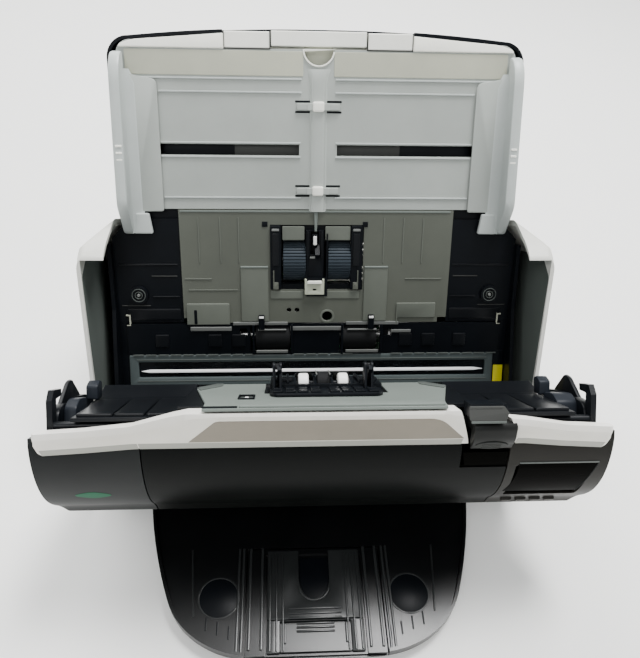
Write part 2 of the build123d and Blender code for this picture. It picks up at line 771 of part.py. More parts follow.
for x, name in zip(BUTTON_XS, ("scan_button", "send_button", "up_button", "down_button")):
    with BuildPart() as button:
        with BuildSketch(BUTTON_PLANE.offset(-4)):
            with Locations((x, BUTTON_UP)):
                RectangleRounded(6, 3.2, 1)
        extrude(amount=5.2)
        chamfer(button.faces().sort_by(Axis((0, 0, 0), (0, -0.83, 0.56)))[-1].edges(), 0.3)
    keep_open(button.part, name)


BAND_LOW = BAND_FRONT[1] - 3.7
END_SECTION = [(24, BAND_LOW), BAND_FRONT, (30.5, 155.8), (34, 155.8), (34, BAND_LOW)]
SHOULDER_SECTION = [(24, BAND_LOW), BAND_FRONT, (30.5, 156.6), (BAND_REAR, 162.8), (BAND_REAR, BAND_LOW)]
RIDGE_SECTION = [(24, BAND_LOW), BAND_FRONT, RIDGE, (BAND_REAR, 163), (BAND_REAR, BAND_LOW)]
BAND_STATIONS = [
    (-HALF_WIDTH, END_SECTION),
    (-122, END_SECTION),
    (-76, SHOULDER_SECTION),
    (-60, RIDGE_SECTION),
    (55, RIDGE_SECTION),
    (BAND_HIGH, SHOULDER_SECTION),
]

with BuildPart() as top_band:
    for stretch in zip(BAND_STATIONS, BAND_STATIONS[1:]):
        for x, points in stretch:
            with BuildSketch(side(x)):
                with BuildLine():
                    Polyline(*points, close=True)
                make_face()
        loft(ruled=True)
    with BuildSketch(side(-58)):
        with BuildLine():
            Polyline(
                (30, BAND_LOW - 1), (30, 152), (38.5, 160), (40.5, 160), (40.5, BAND_LOW - 1), close=True
            )
        make_face()
    extrude(amount=110, mode=Mode.SUBTRACT)

RIGHT_SECTION = [(24, BAND_LOW), BAND_FRONT, (32, 158), (36, 158.5), (36, BAND_LOW)]
with BuildPart() as right_band:
    for x, points in ((RIGHT_BAND_LOW, RIGHT_SECTION), (122, END_SECTION)):
        with BuildSketch(side(x)):
            with BuildLine():
                Polyline(*points, close=True)
            make_face()
    loft(ruled=True)
    add(side_plate(END_SECTION, 122, HALF_WIDTH))
keep_open(group(top_band.part, right_band.part), "cover_band")

# ---------------------------------------------------------------- front cover: latch
LATCH_AXIS = (32.8, 139.0)
LATCH_RADIUS = 2.2
HOOK = [
    (30.2, 136.4), (30.2, 141.6), (46, 141.5), (51, 138), (50, 127), (46.5, 127.5), (46, 135), (36, 135.6),
]
HOOK_X = (139.0, 142.0)
with BuildPart() as latch_hook:
    add(side_plate(HOOK, *HOOK_X))
    add(rod(LATCH_AXIS, LATCH_RADIUS, *HOOK_X), mode=Mode.SUBTRACT)
latch_rod = rod(LATCH_AXIS, LATCH_RADIUS, -HOOK_X[1], HOOK_X[1])
keep_open(group(latch_rod, both_sides(latch_hook.part)), "latch_bar")

TAB_X = (BAND_HIGH + 1, RIGHT_BAND_LOW - 1)
TAB = [
    (20.5, 151.5), (24.5, 157), (36, 162), (42.6, 162), (42.6, 159.5), (36, 157),
    (34.9, 139), (30.6, 139), (31, 152), (24, 149.5),
]
with BuildPart() as release_tab:
    add(side_plate(TAB, *TAB_X))
    add(rod(LATCH_AXIS, LATCH_RADIUS + 0.7, *TAB_X))
    add(rod(LATCH_AXIS, LATCH_RADIUS, *TAB_X), mode=Mode.SUBTRACT)
    for step in range(4):
        add(rod((21.9 + 0.9 * step, 153.9 + 1.1 * step), 0.45, TAB_X[0] + 3, TAB_X[1] - 3))
keep_open(release_tab.part, "release_tab")

# ---------------------------------------------------------------- front cover: frame and paper side
ARM_X = (139.0, 142.0)
ARM = [
    (-6, 22), (-7, 32), (0, 60), (12, 88), (29, 132), (35, 132),
    (42, 108), (40, 86), (30, 62), (8, 30), (5, 20), (0, 17),
]
CHASSIS_HALF = 131.5
CHASSIS_OUT = [
    (-8, 90), (-10, 46), (-5, 37), (2.5, 31.5), (22, 45.2), (34.6, 65.5), (34, 68), (26, 90),
]
CHASSIS_IN = [
    (-5.5, 87.5), (-7.5, 46), (-3, 38.6), (2.5, 33.1), (21, 46), (32.4, 66), (31.8, 68), (24.5, 87.5),
]
with BuildPart() as cover_chassis:
    add(side_plate(CHASSIS_OUT, -CHASSIS_HALF, CHASSIS_HALF))
    add(side_plate(CHASSIS_IN, WALL - CHASSIS_HALF, CHASSIS_HALF - WALL), mode=Mode.SUBTRACT)
    with BuildSketch(GLASS.offset(-1)):
        with Locations((0, GLASS_LENGTH / 2)):
            Rectangle(2 * GLASS_HALF + 1, GLASS_LENGTH + 1)
    extrude(amount=10, mode=Mode.SUBTRACT)
    with BuildSketch(OUT.offset(-1)):
        with Locations((-50, EJECT_UP), (50, EJECT_UP)):
            Rectangle(22, 13)
    extrude(amount=12, mode=Mode.SUBTRACT)
    for x_low in (-CHASSIS_HALF, CHASSIS_HALF - WALL):
        add(side_plate([(12, 89), (29, 135), (35, 135), (35, 104), (25, 89)], x_low, x_low + WALL))
    with BuildSketch(Plane.XY.offset(88)):
        with Locations((0, 12)):
            Rectangle(2 * CHASSIS_HALF - 60, 20)
    extrude(amount=2, mode=Mode.SUBTRACT)
keep_open(cover_chassis.part, "cover_chassis")

with BuildPart() as cover_arm:
    add(side_plate(ARM, *ARM_X))
    with BuildSketch(side(ARM_X[0])):
        with Locations((0, HINGE_Z)):
            Circle(8)
    extrude(amount=ARM_X[1] - ARM_X[0])
    with BuildSketch(side(ARM_X[0])):
        with Locations((0, HINGE_Z)):
            Circle(4.05)
    extrude(amount=ARM_X[1] - ARM_X[0], mode=Mode.SUBTRACT)
    add(side_plate([(17, 98), (18, 104), (32, 104), (32, 98)], CHASSIS_HALF, ARM_X[0]))
keep_open(both_sides(cover_arm.part), "cover_arms")

INNER_HALF = 129.0
GUIDE_SPAN = (-72.0, 72.0)
CHEEK = [
    (38, 145.5), (38, 118), (40, 96), (44.4, 81), (39.4, 71),
    (36.8, 71), (41.6, 81), (38, 95), (36, 118), (36, 145.5),
]
with BuildPart() as cover_liner:
    add(side_plate(CHEEK, GUIDE_SPAN[1] + 2, INNER_HALF))
    add(side_plate(CHEEK, -INNER_HALF, GUIDE_SPAN[0] - 2))
    add(side_plate([(41, 145), (43, 145), (43, 84), (41, 84)], GUIDE_SPAN[0] - 2, GUIDE_SPAN[1] + 2))
    for x_low in (GUIDE_SPAN[0] - 4, GUIDE_SPAN[1] + 2):
        add(side_plate([(36, 145), (43, 145), (43, 84), (41.6, 81), (38, 95), (36, 118)], x_low, x_low + 2))
    with BuildSketch(Plane.XZ.offset(-30)):
        with Locations((1, 100)):
            Rectangle(64, 34)
        with Locations((-31, 79), (31, 79)):
            Rectangle(29, 14)
    extrude(amount=-20, mode=Mode.SUBTRACT)
keep_open(cover_liner.part, "cover_liner")

with BuildPart() as funnel_plate:
    with BuildSketch(Plane.XZ.offset(-43.4)):
        with BuildLine():
            Polyline(
                (-62, 161), (58, 161), (60, 146), (GUIDE_SPAN[1], 100), (GUIDE_SPAN[1] - 10, 86),
                (GUIDE_SPAN[0] + 10, 86), (GUIDE_SPAN[0], 100), (-62, 146), close=True
            )
        make_face()
        with Locations((1, 100)):
            Rectangle(68, 40, mode=Mode.SUBTRACT)
        with Locations((-42, 132)):
            Rectangle(7, 9, mode=Mode.SUBTRACT)
    extrude(amount=-1.5)
keep_open(funnel_plate.part, "funnel_plate")

with BuildPart() as front_glass_frame:
    with BuildSketch(GLASS.offset(1.2)):
        with Locations((0, GLASS_LENGTH / 2)):
            Rectangle(2 * GLASS_HALF, GLASS_LENGTH - 1.0)
            Rectangle(*WINDOW, mode=Mode.SUBTRACT)
    extrude(amount=4)
keep_open(front_glass_frame.part, "front_glass_frame")
front_glass, front_light, front_unit = scan_stack(GLASS.offset(1.2), 1)
keep_open(front_glass, "front_glass")
keep_open(group(front_light, front_unit), "front_optical_unit")

BRAKE_AXIS = (47.5, 101.0)
with BuildPart() as brake_housing:
    with BuildSketch(Plane.XZ.offset(-38)):
        with Locations((1, 99.5)):
            Rectangle(62, 31)
    extrude(amount=-11)
    with BuildSketch(Plane.XZ.offset(-41)):
        with Locations((0, 101)):
            Rectangle(34, 22)
    extrude(amount=-12, mode=Mode.SUBTRACT)
    for x in (-26, 24):
        add(side_plate([(44, 94), (48, 94), (60, 119), (58, 122), (44, 112)], x, x + 2))
    for x in (-17, 15, -5.6, 4):
        add(side_plate([(41, 94), (47, 93), (50.5, 98), (50.5, 104), (48, 112), (41, 112)], x, x + 1.6))
    add(rod(BRAKE_AXIS, 1.55, -18, 18), mode=Mode.SUBTRACT)
keep_open(group(brake_housing.part, rod(BRAKE_AXIS, 1.5, -16.8, 16.4)), "brake_housing")
keep_open(group(*[roller(BRAKE_AXIS, 5.5, x, x + 6, 1.55, 0.4) for x in (-14.3, 8.3)]), "white_rollers")
keep_open(roller(BRAKE_AXIS, 6.5, -3.6, 3.6, 1.55, 0.5), "brake_roller")

PINCH_AXIS = yz(FEED, FEED_UP, 7.6)
IDLER_AXIS = yz(OUT, EJECT_UP, 7.2)
with BuildPart() as pinch_rollers:
    for x_low in (-43, 19):
        add(roller(PINCH_AXIS, 5, x_low, x_low + 24, 1.4))
    add(rod(PINCH_AXIS, 1.5, -60, 60))
keep_open(pinch_rollers.part, "pinch_rollers")
with BuildPart() as eject_idlers:
    for x_low in (-60, 40):
        add(roller(IDLER_AXIS, 4.5, x_low, x_low + 20, 1.4))
    add(rod(IDLER_AXIS, 1.5, -70, 70))
keep_open(eject_idlers.part, "eject_idlers")

# ---------------------------------------------------------------- stacker
STACK = Plane(
    origin=(STACKER_X, -16.0, 12.4),
    x_dir=(1, 0, 0),
    z_dir=(0, -sin(radians(STACKER_SLOPE)), cos(radians(STACKER_SLOPE))),
)
REACH = (STACKER_FRONT - 16.0) / cos(radians(STACKER_SLOPE))
TRAY_DEEP = 4.4


def tray_outline(inset):
    """Plan outline of the stacker tray, drawn in by an inset."""
    with BuildSketch() as outline:
        with BuildLine():
            flank = ThreePointArc((106 - inset, -3 - inset), (100 - inset, -48), (86.5 - inset, -93))
            nose = Spline(
                flank @ 1,
                (58 - 0.7 * inset, -121 + 0.7 * inset),
                (0, -REACH + inset),
                tangents=[flank % 1, (-1, 0)],
            )
            Polyline(nose @ 1, (0, -3 - inset), flank @ 0)
            mirror(about=Plane.YZ)
        make_face()
    return outline.sketch


EXT_TOP = -62.0
FLAP_DOWN = REACH - 10.2
FLAP_AXIS = yz(STACK, 3.3 - REACH, 3.9 - TRAY_DEEP)
with BuildPart() as stacker_tray:
    with BuildSketch(STACK.offset(-TRAY_DEEP)):
        add(tray_outline(0))
    extrude(amount=TRAY_DEEP + 2.6)
    with BuildSketch(STACK):
        add(tray_outline(2))
    extrude(amount=4, mode=Mode.SUBTRACT)
    with BuildSketch(STACK.offset(-TRAY_DEEP + 1.2)):
        with Locations((0, (EXT_TOP - REACH - 6) / 2)):
            Rectangle(82, REACH + 6 + EXT_TOP)
    extrude(amount=10, mode=Mode.SUBTRACT)
    with BuildSketch(STACK.offset(-0.01)):
        with Locations((-57, -93), (57, -93)):
            Circle(11)
    extrude(amount=-1.2, mode=Mode.SUBTRACT)
    for x_low in (-106, 103.2):
        add(rod(STACKER_AXIS, 3.6, STACKER_X + x_low, STACKER_X + x_low + 2.8))
    for x_low in (-112, 106):
        add(rod(STACKER_AXIS, 2.5, STACKER_X + x_low, STACKER_X + x_low + 6))
keep(stacker_tray.part, "stacker_tray")

with BuildPart() as stacker_slide_outer:
    with BuildSketch(STACK.offset(-TRAY_DEEP + 1.5)):
        with Locations((0, (EXT_TOP - REACH) / 2)):
            Rectangle(80, REACH - 2 + EXT_TOP)
    extrude(amount=2.9)
    with BuildSketch(STACK.offset(-TRAY_DEEP + 2.7)):
        with Locations((0, (EXT_TOP - REACH - 10) / 2)):
            Rectangle(58.6, REACH + 2 + EXT_TOP)
    extrude(amount=10, mode=Mode.SUBTRACT)
keep(stacker_slide_outer.part, "stacker_slide_outer")

with BuildPart() as stacker_slide_inner:
    with BuildSketch(STACK.offset(-TRAY_DEEP + 3.0)):
        with Locations((0, (EXT_TOP - REACH - 4) / 2)):
            Rectangle(58, REACH + EXT_TOP - 8)
    extrude(amount=1.6)
    with BuildSketch(STACK.offset(-TRAY_DEEP + 2.9)):
        with Locations((0, -86)):
            Circle(15)
        with Locations((0, 0.7 - FLAP_DOWN)):
            Rectangle(40.6, 18)
    extrude(amount=4, mode=Mode.SUBTRACT)
    add(rod(FLAP_AXIS, 0.55, STACKER_X - 23, STACKER_X + 23), mode=Mode.SUBTRACT)
keep(stacker_slide_inner.part, "stacker_slide_inner")

with BuildPart() as page_stopper:
    with BuildSketch(STACK.offset(-TRAY_DEEP + 3.3)):
        with Locations((0, -FLAP_DOWN)):
            Rectangle(39.8, 15)
    extrude(amount=1.2)
    add(rod(FLAP_AXIS, 0.5, STACKER_X - 22.5, STACKER_X + 22.5))
keep(page_stopper.part, "page_stopper")
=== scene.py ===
"""Looks of the sheet fed document scanner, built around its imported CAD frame.

Blender objects are in metres; local shapes are drawn in millimetres on the same planes as the CAD design.
"""

import json
import math

import bmesh
import bpy
from mathutils import Matrix, Vector


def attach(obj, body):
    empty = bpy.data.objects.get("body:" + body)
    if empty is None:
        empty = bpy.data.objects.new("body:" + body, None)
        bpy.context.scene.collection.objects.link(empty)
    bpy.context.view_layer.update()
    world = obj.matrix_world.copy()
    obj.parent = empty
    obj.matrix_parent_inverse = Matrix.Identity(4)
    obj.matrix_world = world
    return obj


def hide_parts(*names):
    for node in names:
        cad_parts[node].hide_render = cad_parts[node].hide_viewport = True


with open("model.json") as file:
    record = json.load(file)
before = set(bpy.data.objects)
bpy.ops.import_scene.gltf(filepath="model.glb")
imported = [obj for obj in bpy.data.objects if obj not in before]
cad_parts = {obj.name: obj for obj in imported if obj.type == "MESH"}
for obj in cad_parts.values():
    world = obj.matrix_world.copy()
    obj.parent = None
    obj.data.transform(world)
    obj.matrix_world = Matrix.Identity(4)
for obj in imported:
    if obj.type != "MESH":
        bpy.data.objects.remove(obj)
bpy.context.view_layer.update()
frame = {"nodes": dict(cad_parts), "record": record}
MM = 0.001

# driving dimensions of the design: lengths in millimetres, angles in degrees
HINGE_Z = 24.5
OPEN_ANGLE = 50.0
CHUTE_LEAN = 26.4
CHUTE_FOOT = (83.0, 153.5)
GUIDE_FOOT = (49.8, 84.0)
GLASS_TOP = (39.8, 63.0)
GLASS_FOOT = (27.6, 44.3)
GLASS_HALF = 129.0
CHUTE_SLOT = (34.0, 41.0)
GUIDE_WALL = 118.0
PICK_SHIFT = -0.7
PICK_UP = 41.8
PICK_ROLLER = 14.0
PICK_PROUD = 3.0
PICK_TEETH = 40
BRAKE_AXIS = (47.5, 101.0)
FACE_CENTRE = (35.25, 89.43)
FACE_RADIUS = 57.68
# faces on the cover's inner side, as heights off its shut front view
FUNNEL_FACE = -44.6
BRAKE_FACE = -48.5
SKIRT_FACE = -47.0
# stacker: place and slope of its tray, and the finger notch of its second slide
STACKER_ORIGIN = (-5.0, -16.0, 12.4)
STACKER_SLOPE = 1.5
NOTCH_CENTRE = (0, -86)


# ---------------------------------------------------------------- materials
def srgb(r, g, b):
    """Linear colour of an 8-bit screen colour."""
    def linear(v):
        v /= 255
        return v / 12.92 if v <= 0.04045 else ((v + 0.055) / 1.055) ** 2.4
    return (linear(r), linear(g), linear(b), 1.0)


def node(tree, kind, inputs=None, **fields):
    """New shader node with its inputs and fields set."""
    made = tree.nodes.new(kind)
    for name, value in fields.items():
        setattr(made, name, value)
    for name, value in (inputs or {}).items():
        made.inputs[name].default_value = value
    return made


def shade(colour, factor):
    """A colour made lighter or darker by a factor."""
    return tuple(min(1.0, c * factor) for c in colour[:3]) + (1.0,)


# what all surfaces share: slow drift per metre, pointiness, share and paleness of the painted highlight on
# edges, roughness
DRIFT_SCALE = 28.0
DRIFT_RANGE = (0.3, 0.7)
EDGE_HIGHLIGHT_RANGE = (0.53, 0.62)
EDGE_HIGHLIGHT_SHARE = 0.35
EDGE_HIGHLIGHT_PALER = 1.6
ROUGH_SPREAD = 0.05
# texture stretch of metal ground across the machine
GROUND = (0.05, 1, 1)


def moulded(
    name, colour, rough, grain=0.0005, depth=0.00002, mottle=0.06, gloss=0.4, metal=0.0, streak=None,
):
    """Moulded or ground surface: grain in its bump, slow drift of colour and roughness, edges made paler as a
    painted highlight.
    """
    made = bpy.data.materials.new(name)
    made.use_nodes = True
    tree = made.node_tree
    link = tree.links.new
    shader = tree.nodes["Principled BSDF"]
    place = node(tree, "ShaderNodeTexCoord")
    source = place.outputs["Object"]
    if streak:
        stretch = node(tree, "ShaderNodeMapping", {"Scale": streak})
        link(source, stretch.inputs["Vector"])
        source = stretch.outputs["Vector"]
    fine = node(tree, "ShaderNodeTexNoise", {"Scale": 1 / grain, "Detail": 2.0, "Roughness": 0.6})
    slow = node(tree, "ShaderNodeTexNoise", {"Scale": DRIFT_SCALE, "Detail": 4.0, "Roughness": 0.65})
    link(source, fine.inputs["Vector"])
    link(source, slow.inputs["Vector"])
    ramp = node(tree, "ShaderNodeValToRGB")
    low, high = ramp.color_ramp.elements
    low.position, high.position = DRIFT_RANGE
    low.color = shade(colour, 1 - mottle)
    high.color = shade(colour, 1 + mottle)
    link(slow.outputs["Fac"], ramp.inputs["Fac"])
    # painted highlight: pointy edges are mixed towards a paler copy of the colour
    edge_highlight = node(
        tree, "ShaderNodeMapRange",
        {"From Min": EDGE_HIGHLIGHT_RANGE[0], "From Max": EDGE_HIGHLIGHT_RANGE[1], "To Max": EDGE_HIGHLIGHT_SHARE},
    )
    link(node(tree, "ShaderNodeNewGeometry").outputs["Pointiness"], edge_highlight.inputs["Value"])
    blend = node(tree, "ShaderNodeMix", data_type="RGBA")
    blend.inputs["B"].default_value = shade(colour, EDGE_HIGHLIGHT_PALER)
    link(edge_highlight.outputs["Result"], blend.inputs["Factor"])
    link(ramp.outputs["Color"], blend.inputs["A"])
    link(blend.outputs["Result"], shader.inputs["Base Color"])
    spread = node(
        tree, "ShaderNodeMapRange", {"To Min": rough - ROUGH_SPREAD, "To Max": rough + ROUGH_SPREAD},
    )
    link(slow.outputs["Fac"], spread.inputs["Value"])
    link(spread.outputs["Result"], shader.inputs["Roughness"])
    bump = node(tree, "ShaderNodeBump", {"Strength": 0.5, "Distance": depth})
    link(fine.outputs["Fac"], bump.inputs["Height"])
    link(bump.outputs["Normal"], shader.inputs["Normal"])
    shader.inputs["Metallic"].default_value = metal
    shader.inputs["Specular IOR Level"].default_value = gloss
    return made


def clear_glass(name):
    """Thin scan glass: see-through, lightly tinted, with faint dust in its roughness."""
    made = moulded(name, srgb(205, 216, 214), 0.1, grain=0.004, depth=0.000001, mottle=0.03)
    shader = made.node_tree.nodes["Principled BSDF"]
    shader.inputs["Transmission Weight"].default_value = 1.0
    shader.inputs["IOR"].default_value = 1.2
    return made


LOOKS = {}


def add_look(name, colour, rough, slot=None, **more):
    """Make a moulded look; slot is the record's slot that it belongs to, if that isn't its own name."""
    LOOKS[name] = (moulded(name, srgb(*colour), rough, **more), slot or name)


# the looks of the record's slots
add_look("light_plastic", (214, 214, 206), 0.46)
add_look("panel_grey", (164, 169, 164), 0.4)
add_look("guide_grey", (88, 91, 83), 0.36, gloss=0.25)
add_look("dark_plastic", (10, 13, 17), 0.36, mottle=0.2, gloss=0.14)
add_look("cover_black", (9, 11, 10), 0.4, mottle=0.15, gloss=0.07)
add_look("band_light", (224, 220, 209), 0.42)
add_look("frame_grey", (70, 78, 78), 0.34, gloss=0.3)
LOOKS["glass"] = (clear_glass("glass"), "glass")
add_look("light_white", (253, 254, 254), 0.3)
add_look("steel", (160, 160, 158), 0.3, metal=1.0, streak=GROUND)
add_look("rubber_blue_grey", (42, 50, 57), 0.62, depth=0.00005, gloss=0.25)
add_look("rubber_black", (14, 15, 16), 0.75, depth=0.00005, gloss=0.2)
add_look("roller_white", (242, 242, 238), 0.42)
add_look("board_green", (20, 84, 52), 0.4)
add_look("display_black", (5, 5, 4), 0.25, depth=0.000002, gloss=0.01)
add_look("button_grey", (50, 49, 46), 0.45, gloss=0.2)
# looks that belong to one of those slots
add_look("pod_grey", (29, 31, 31), 0.4, "cover_black", mottle=0.12, gloss=0.12)
add_look("pod_brown", (32, 31, 28), 0.4, "cover_black", mottle=0.1, gloss=0.12)
add_look("chute_cream", (178, 179, 162), 0.42, "light_plastic")
add_look("chute_tab", (250, 250, 238), 0.42, "light_plastic")
add_look("guide_pale", (178, 184, 181), 0.4, "light_plastic")
# lighter copy of guide_grey: painted light on the raised faces of the pick plate
add_look("guide_raised_lit", (98, 102, 94), 0.32, "guide_grey", gloss=0.25)
# darker copy of light_plastic: painted shade on the side covers' inner walls
add_look("side_wall_shade_grey", (84, 90, 86), 0.5, "light_plastic", gloss=0.2)
add_look("funnel_grey", (108, 115, 110), 0.4, "guide_grey", gloss=0.25)
add_look("funnel_dark", (78, 83, 80), 0.4, "guide_grey", gloss=0.25)
add_look("slot_grey", (58, 59, 57), 0.5, "dark_plastic", gloss=0.2)
add_look("liner_black", (14, 16, 19), 0.32, "dark_plastic", mottle=0.15, gloss=0.22)
add_look("bumper_blue", (28, 32, 38), 0.45, "dark_plastic", mottle=0.12, gloss=0.15)
add_look("trim_silver", (132, 134, 131), 0.34, "steel", metal=0.6, streak=GROUND)
# grey copy of band_light: painted shade on the band's down-facing lowest face
add_look("band_underside_shade", (142, 142, 134), 0.4, "band_light", streak=GROUND)
# darker copy of band_light: painted shade on the band's slanted facet, which faces away from the light
add_look("band_painted_shade", (132, 125, 112), 0.4, "band_light", gloss=0.25)
add_look("tab_grey", (30, 31, 30), 0.34, "cover_black", gloss=0.12)
add_look("grip_grey", (42, 44, 42), 0.5, "cover_black", gloss=0.15)
add_look("clip_beige", (168, 172, 154), 0.4, "light_plastic")
add_look("patch_yellow", (206, 196, 22), 0.5, "light_plastic")
add_look("patch_green", (24, 84, 58), 0.4, "board_green", gloss=0.1)
# shaded and lit copies of the stacker's black plastic: painted shadow of the cover on its rear, painted light
# on its front parts
add_look("tray_painted_shadow", (7, 8, 9), 0.3, "cover_black", mottle=0.25, gloss=0.4)
add_look("tray_painted_lit", (34, 36, 36), 0.3, "cover_black", mottle=0.25, gloss=0.45)


# ---------------------------------------------------------------- places
ACROSS = Vector((1, 0, 0))
BACK = Vector((0, 1, 0))
UP = Vector((0, 0, 1))


def basis(origin, across, up, out):
    """Matrix from local millimetres (across, up, out) to metres in the row frame."""
    turn = Matrix((across, up, out)).transposed().to_4x4()
    return Matrix.Scale(MM, 4) @ Matrix.Translation(origin) @ turn


def stretch_place(foot, head):
    """Place on a stretch of the paper path: x across, y up the path, z off the paper face."""
    rise = Vector((0, head[0] - foot[0], head[1] - foot[1])).normalized()
    return basis((0, *foot), ACROSS, rise, ACROSS.cross(rise))


lean = math.radians(CHUTE_LEAN)
CHUTE = stretch_place(CHUTE_FOOT, (CHUTE_FOOT[0] + math.sin(lean), CHUTE_FOOT[1] + math.cos(lean)))
PICK = stretch_place(GUIDE_FOOT, CHUTE_FOOT)
FEED = stretch_place(GLASS_TOP, GUIDE_FOOT)
GLASS = stretch_place(GLASS_FOOT, GLASS_TOP)
# the chute seen from its side: up the chute, off its face, across
CHUTE_SIDE = CHUTE @ Matrix(((0, 0, 1, 0), (1, 0, 0, 0), (0, 1, 0, 0), (0, 0, 0, 1)))
SIDE = basis((0, 0, 0), BACK, UP, ACROSS)
FRONT = basis((0, 0, 0), ACROSS, UP, -BACK)
slope = math.radians(STACKER_SLOPE)
STACK = basis(
    STACKER_ORIGIN,
    ACROSS,
    Vector((0, math.cos(slope), math.sin(slope))),
    Vector((0, -math.sin(slope), math.cos(slope))),
)
swing = Matrix.Rotation(math.radians(OPEN_ANGLE), 4, "X")
# the open cover's places: its shapes are drawn in the shut position and then swung open
hinge = Matrix.Translation((0, 0, HINGE_Z * MM))
SWING = hinge @ swing @ hinge.inverted()
COVER_SIDE = SWING @ SIDE
COVER_FRONT = SWING @ FRONT


# ---------------------------------------------------------------- shapes
SIDES = ((-1, "left"), (1, "right"))


def box_outline(x_low, x_high, y_low, y_high):
    """Corners of a rectangle."""
    return [(x_low, y_low), (x_high, y_low), (x_high, y_high), (x_low, y_high)]


def rounded(points, radius, steps=5):
    """Outline with each corner rounded; radius is one number, or one for each corner."""
    radii = radius if isinstance(radius, (list, tuple)) else [radius] * len(points)
    outline = []
    for index, size in enumerate(radii):
        corner = Vector(points[index])
        before = Vector(points[index - 1]) - corner
        after = Vector(points[(index + 1) % len(points)]) - corner
        if size == 0:
            outline.append(corner)
            continue
        start = corner + before.normalized() * min(size, before.length * 0.48)
        end = corner + after.normalized() * min(size, after.length * 0.48)
        for step in range(steps + 1):
            t = step / steps
            outline.append(start * (1 - t) ** 2 + corner * 2 * t * (1 - t) + end * t ** 2)
    return outline


def pad(x_low, x_high, y_low, y_high, radius=0.8):
    """Rectangle with rounded corners."""
    return rounded(box_outline(x_low, x_high, y_low, y_high), radius)


def ring(centre, radius, steps=36, squash=1.0):
    """Round or oval outline."""
    turns = (2 * math.pi * k / steps for k in range(steps))
    return [(centre[0] + radius * math.cos(a), centre[1] + squash * radius * math.sin(a)) for a in turns]


def on_side(way, outline):
    """Outline on one side, way being -1 or 1; its x values are distances from the middle."""
    return [(way * x, y) for x, y in outline]


def side_span(way, low, high):
    """Range of x on one side, from two distances to the middle."""
    return (low, high) if way > 0 else (-high, -low)


def mirrored(outlines):
    """Outlines with their mirror images across x = 0."""
    return outlines + [on_side(-1, outline) for outline in outlines]


def arc(centre, radius, degrees):
    """Points round a centre, at angles from straight down."""
    turns = [math.radians(a) for a in degrees]
    return [(centre[0] + radius * math.sin(a), centre[1] - radius * math.cos(a)) for a in turns]


def smooth(mesh, angle):
    """Smooth shading with edges sharper than an angle kept crisp."""
    work = bmesh.new()
    work.from_mesh(mesh)
    bmesh.ops.remove_doubles(work, verts=work.verts, dist=1e-7)
    bmesh.ops.recalc_face_normals(work, faces=work.faces)
    for face in work.faces:
        face.smooth = True
    for edge in work.edges:
        edge.smooth = len(edge.link_faces) == 2 and edge.calc_face_angle() < math.radians(angle)
    work.to_mesh(mesh)
    work.free()


def finish_piece(name, mesh, look, body, angle=35):
    """New piece from a mesh in metres, with its look and body."""
    made, slot = LOOKS[look]
    smooth(mesh, angle)
    mesh.name = name
    mesh.materials.clear()
    mesh.materials.append(made)
    piece = bpy.data.objects.new(name, mesh)
    bpy.context.scene.collection.objects.link(piece)
    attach(piece, body)
    return piece


def plate(name, place, outlines, low, high, look, body="base", edge=0.25):
    """Plates between two heights of a place, with softened edges; an outline inside another is a hole."""
    curve = bpy.data.curves.new(name, "CURVE")
    curve.dimensions = "2D"
    curve.fill_mode = "BOTH"
    curve.extrude = (high - low) / 2 - edge
    curve.bevel_depth = edge
    curve.bevel_resolution = 1
    curve.offset = -edge
    for outline in outlines:
        spline = curve.splines.new("POLY")
        spline.points.add(len(outline) - 1)
        for point, corner in zip(spline.points, outline):
            point.co = (corner[0], corner[1], 0, 1)
        spline.use_cyclic_u = True
    holder = bpy.data.objects.new(name, curve)
    mesh = bpy.data.meshes.new_from_object(holder)
    bpy.data.objects.remove(holder)
    bpy.data.curves.remove(curve)
    mesh.transform(place @ Matrix.Translation((0, 0, (low + high) / 2)))
    return finish_piece(name, mesh, look, body)


def loft(name, place, rings, look, body="base", angle=12):
    """Closed skin through rings of equal point counts, with flat ends."""
    work = bmesh.new()
    rows = [[work.verts.new(place @ Vector(point)) for point in points] for points in rings]
    count = len(rows[0])
    for row, after in zip(rows, rows[1:]):
        for k in range(count):
            work.faces.new((row[k], row[(k + 1) % count], after[(k + 1) % count], after[k]))
    work.faces.new(rows[0])
    work.faces.new(rows[-1][::-1])
    mesh = bpy.data.meshes.new(name)
    work.to_mesh(mesh)
    work.free()
    return finish_piece(name, mesh, look, body, angle)


def turned(name, place, centre, profile, look, body, steps=40):
    """Round piece about a line across a side place, from (x, radius) points."""
    rings = []
    for x, radius in profile:
        rings.append([(*point, x) for point in ring(centre, radius, steps)])
    return loft(name, place, rings, look, body, angle=40)


def toothed(centre, radius, depth, teeth):
    """Outline of a grooved roller: rounded lands parted by narrow grooves."""
    root = radius - depth
    land = ((0.0, root), (0.16, radius), (0.45, radius + 0.1), (0.74, radius), (0.9, root))
    pitch = 2 * math.pi / teeth
    outline = []
    for k in range(teeth):
        for part, reach in land:
            angle = (k + part) * pitch
            outline.append((centre[0] + reach * math.cos(angle), centre[1] + reach * math.sin(angle)))
    return outline


def soften(name, width, angle=35):
    """Round the hard edges of a CAD node with modifiers; its own mesh stays as it is."""
    piece = frame["nodes"][name]
    piece.modifiers.new("weld", "WELD").merge_threshold = 1e-6
    flat = piece.modifiers.new("flat", "DECIMATE")
    flat.decimate_type = "DISSOLVE"
    flat.angle_limit = math.radians(0.5)
    bevel = piece.modifiers.new("edges", "BEVEL")
    bevel.width = width * MM
    bevel.segments = 2
    bevel.limit_method = "ANGLE"
    bevel.angle_limit = math.radians(angle)
    bevel.use_clamp_overlap = True
    piece.modifiers.new("shading", "WEIGHTED_NORMAL").keep_sharp = True


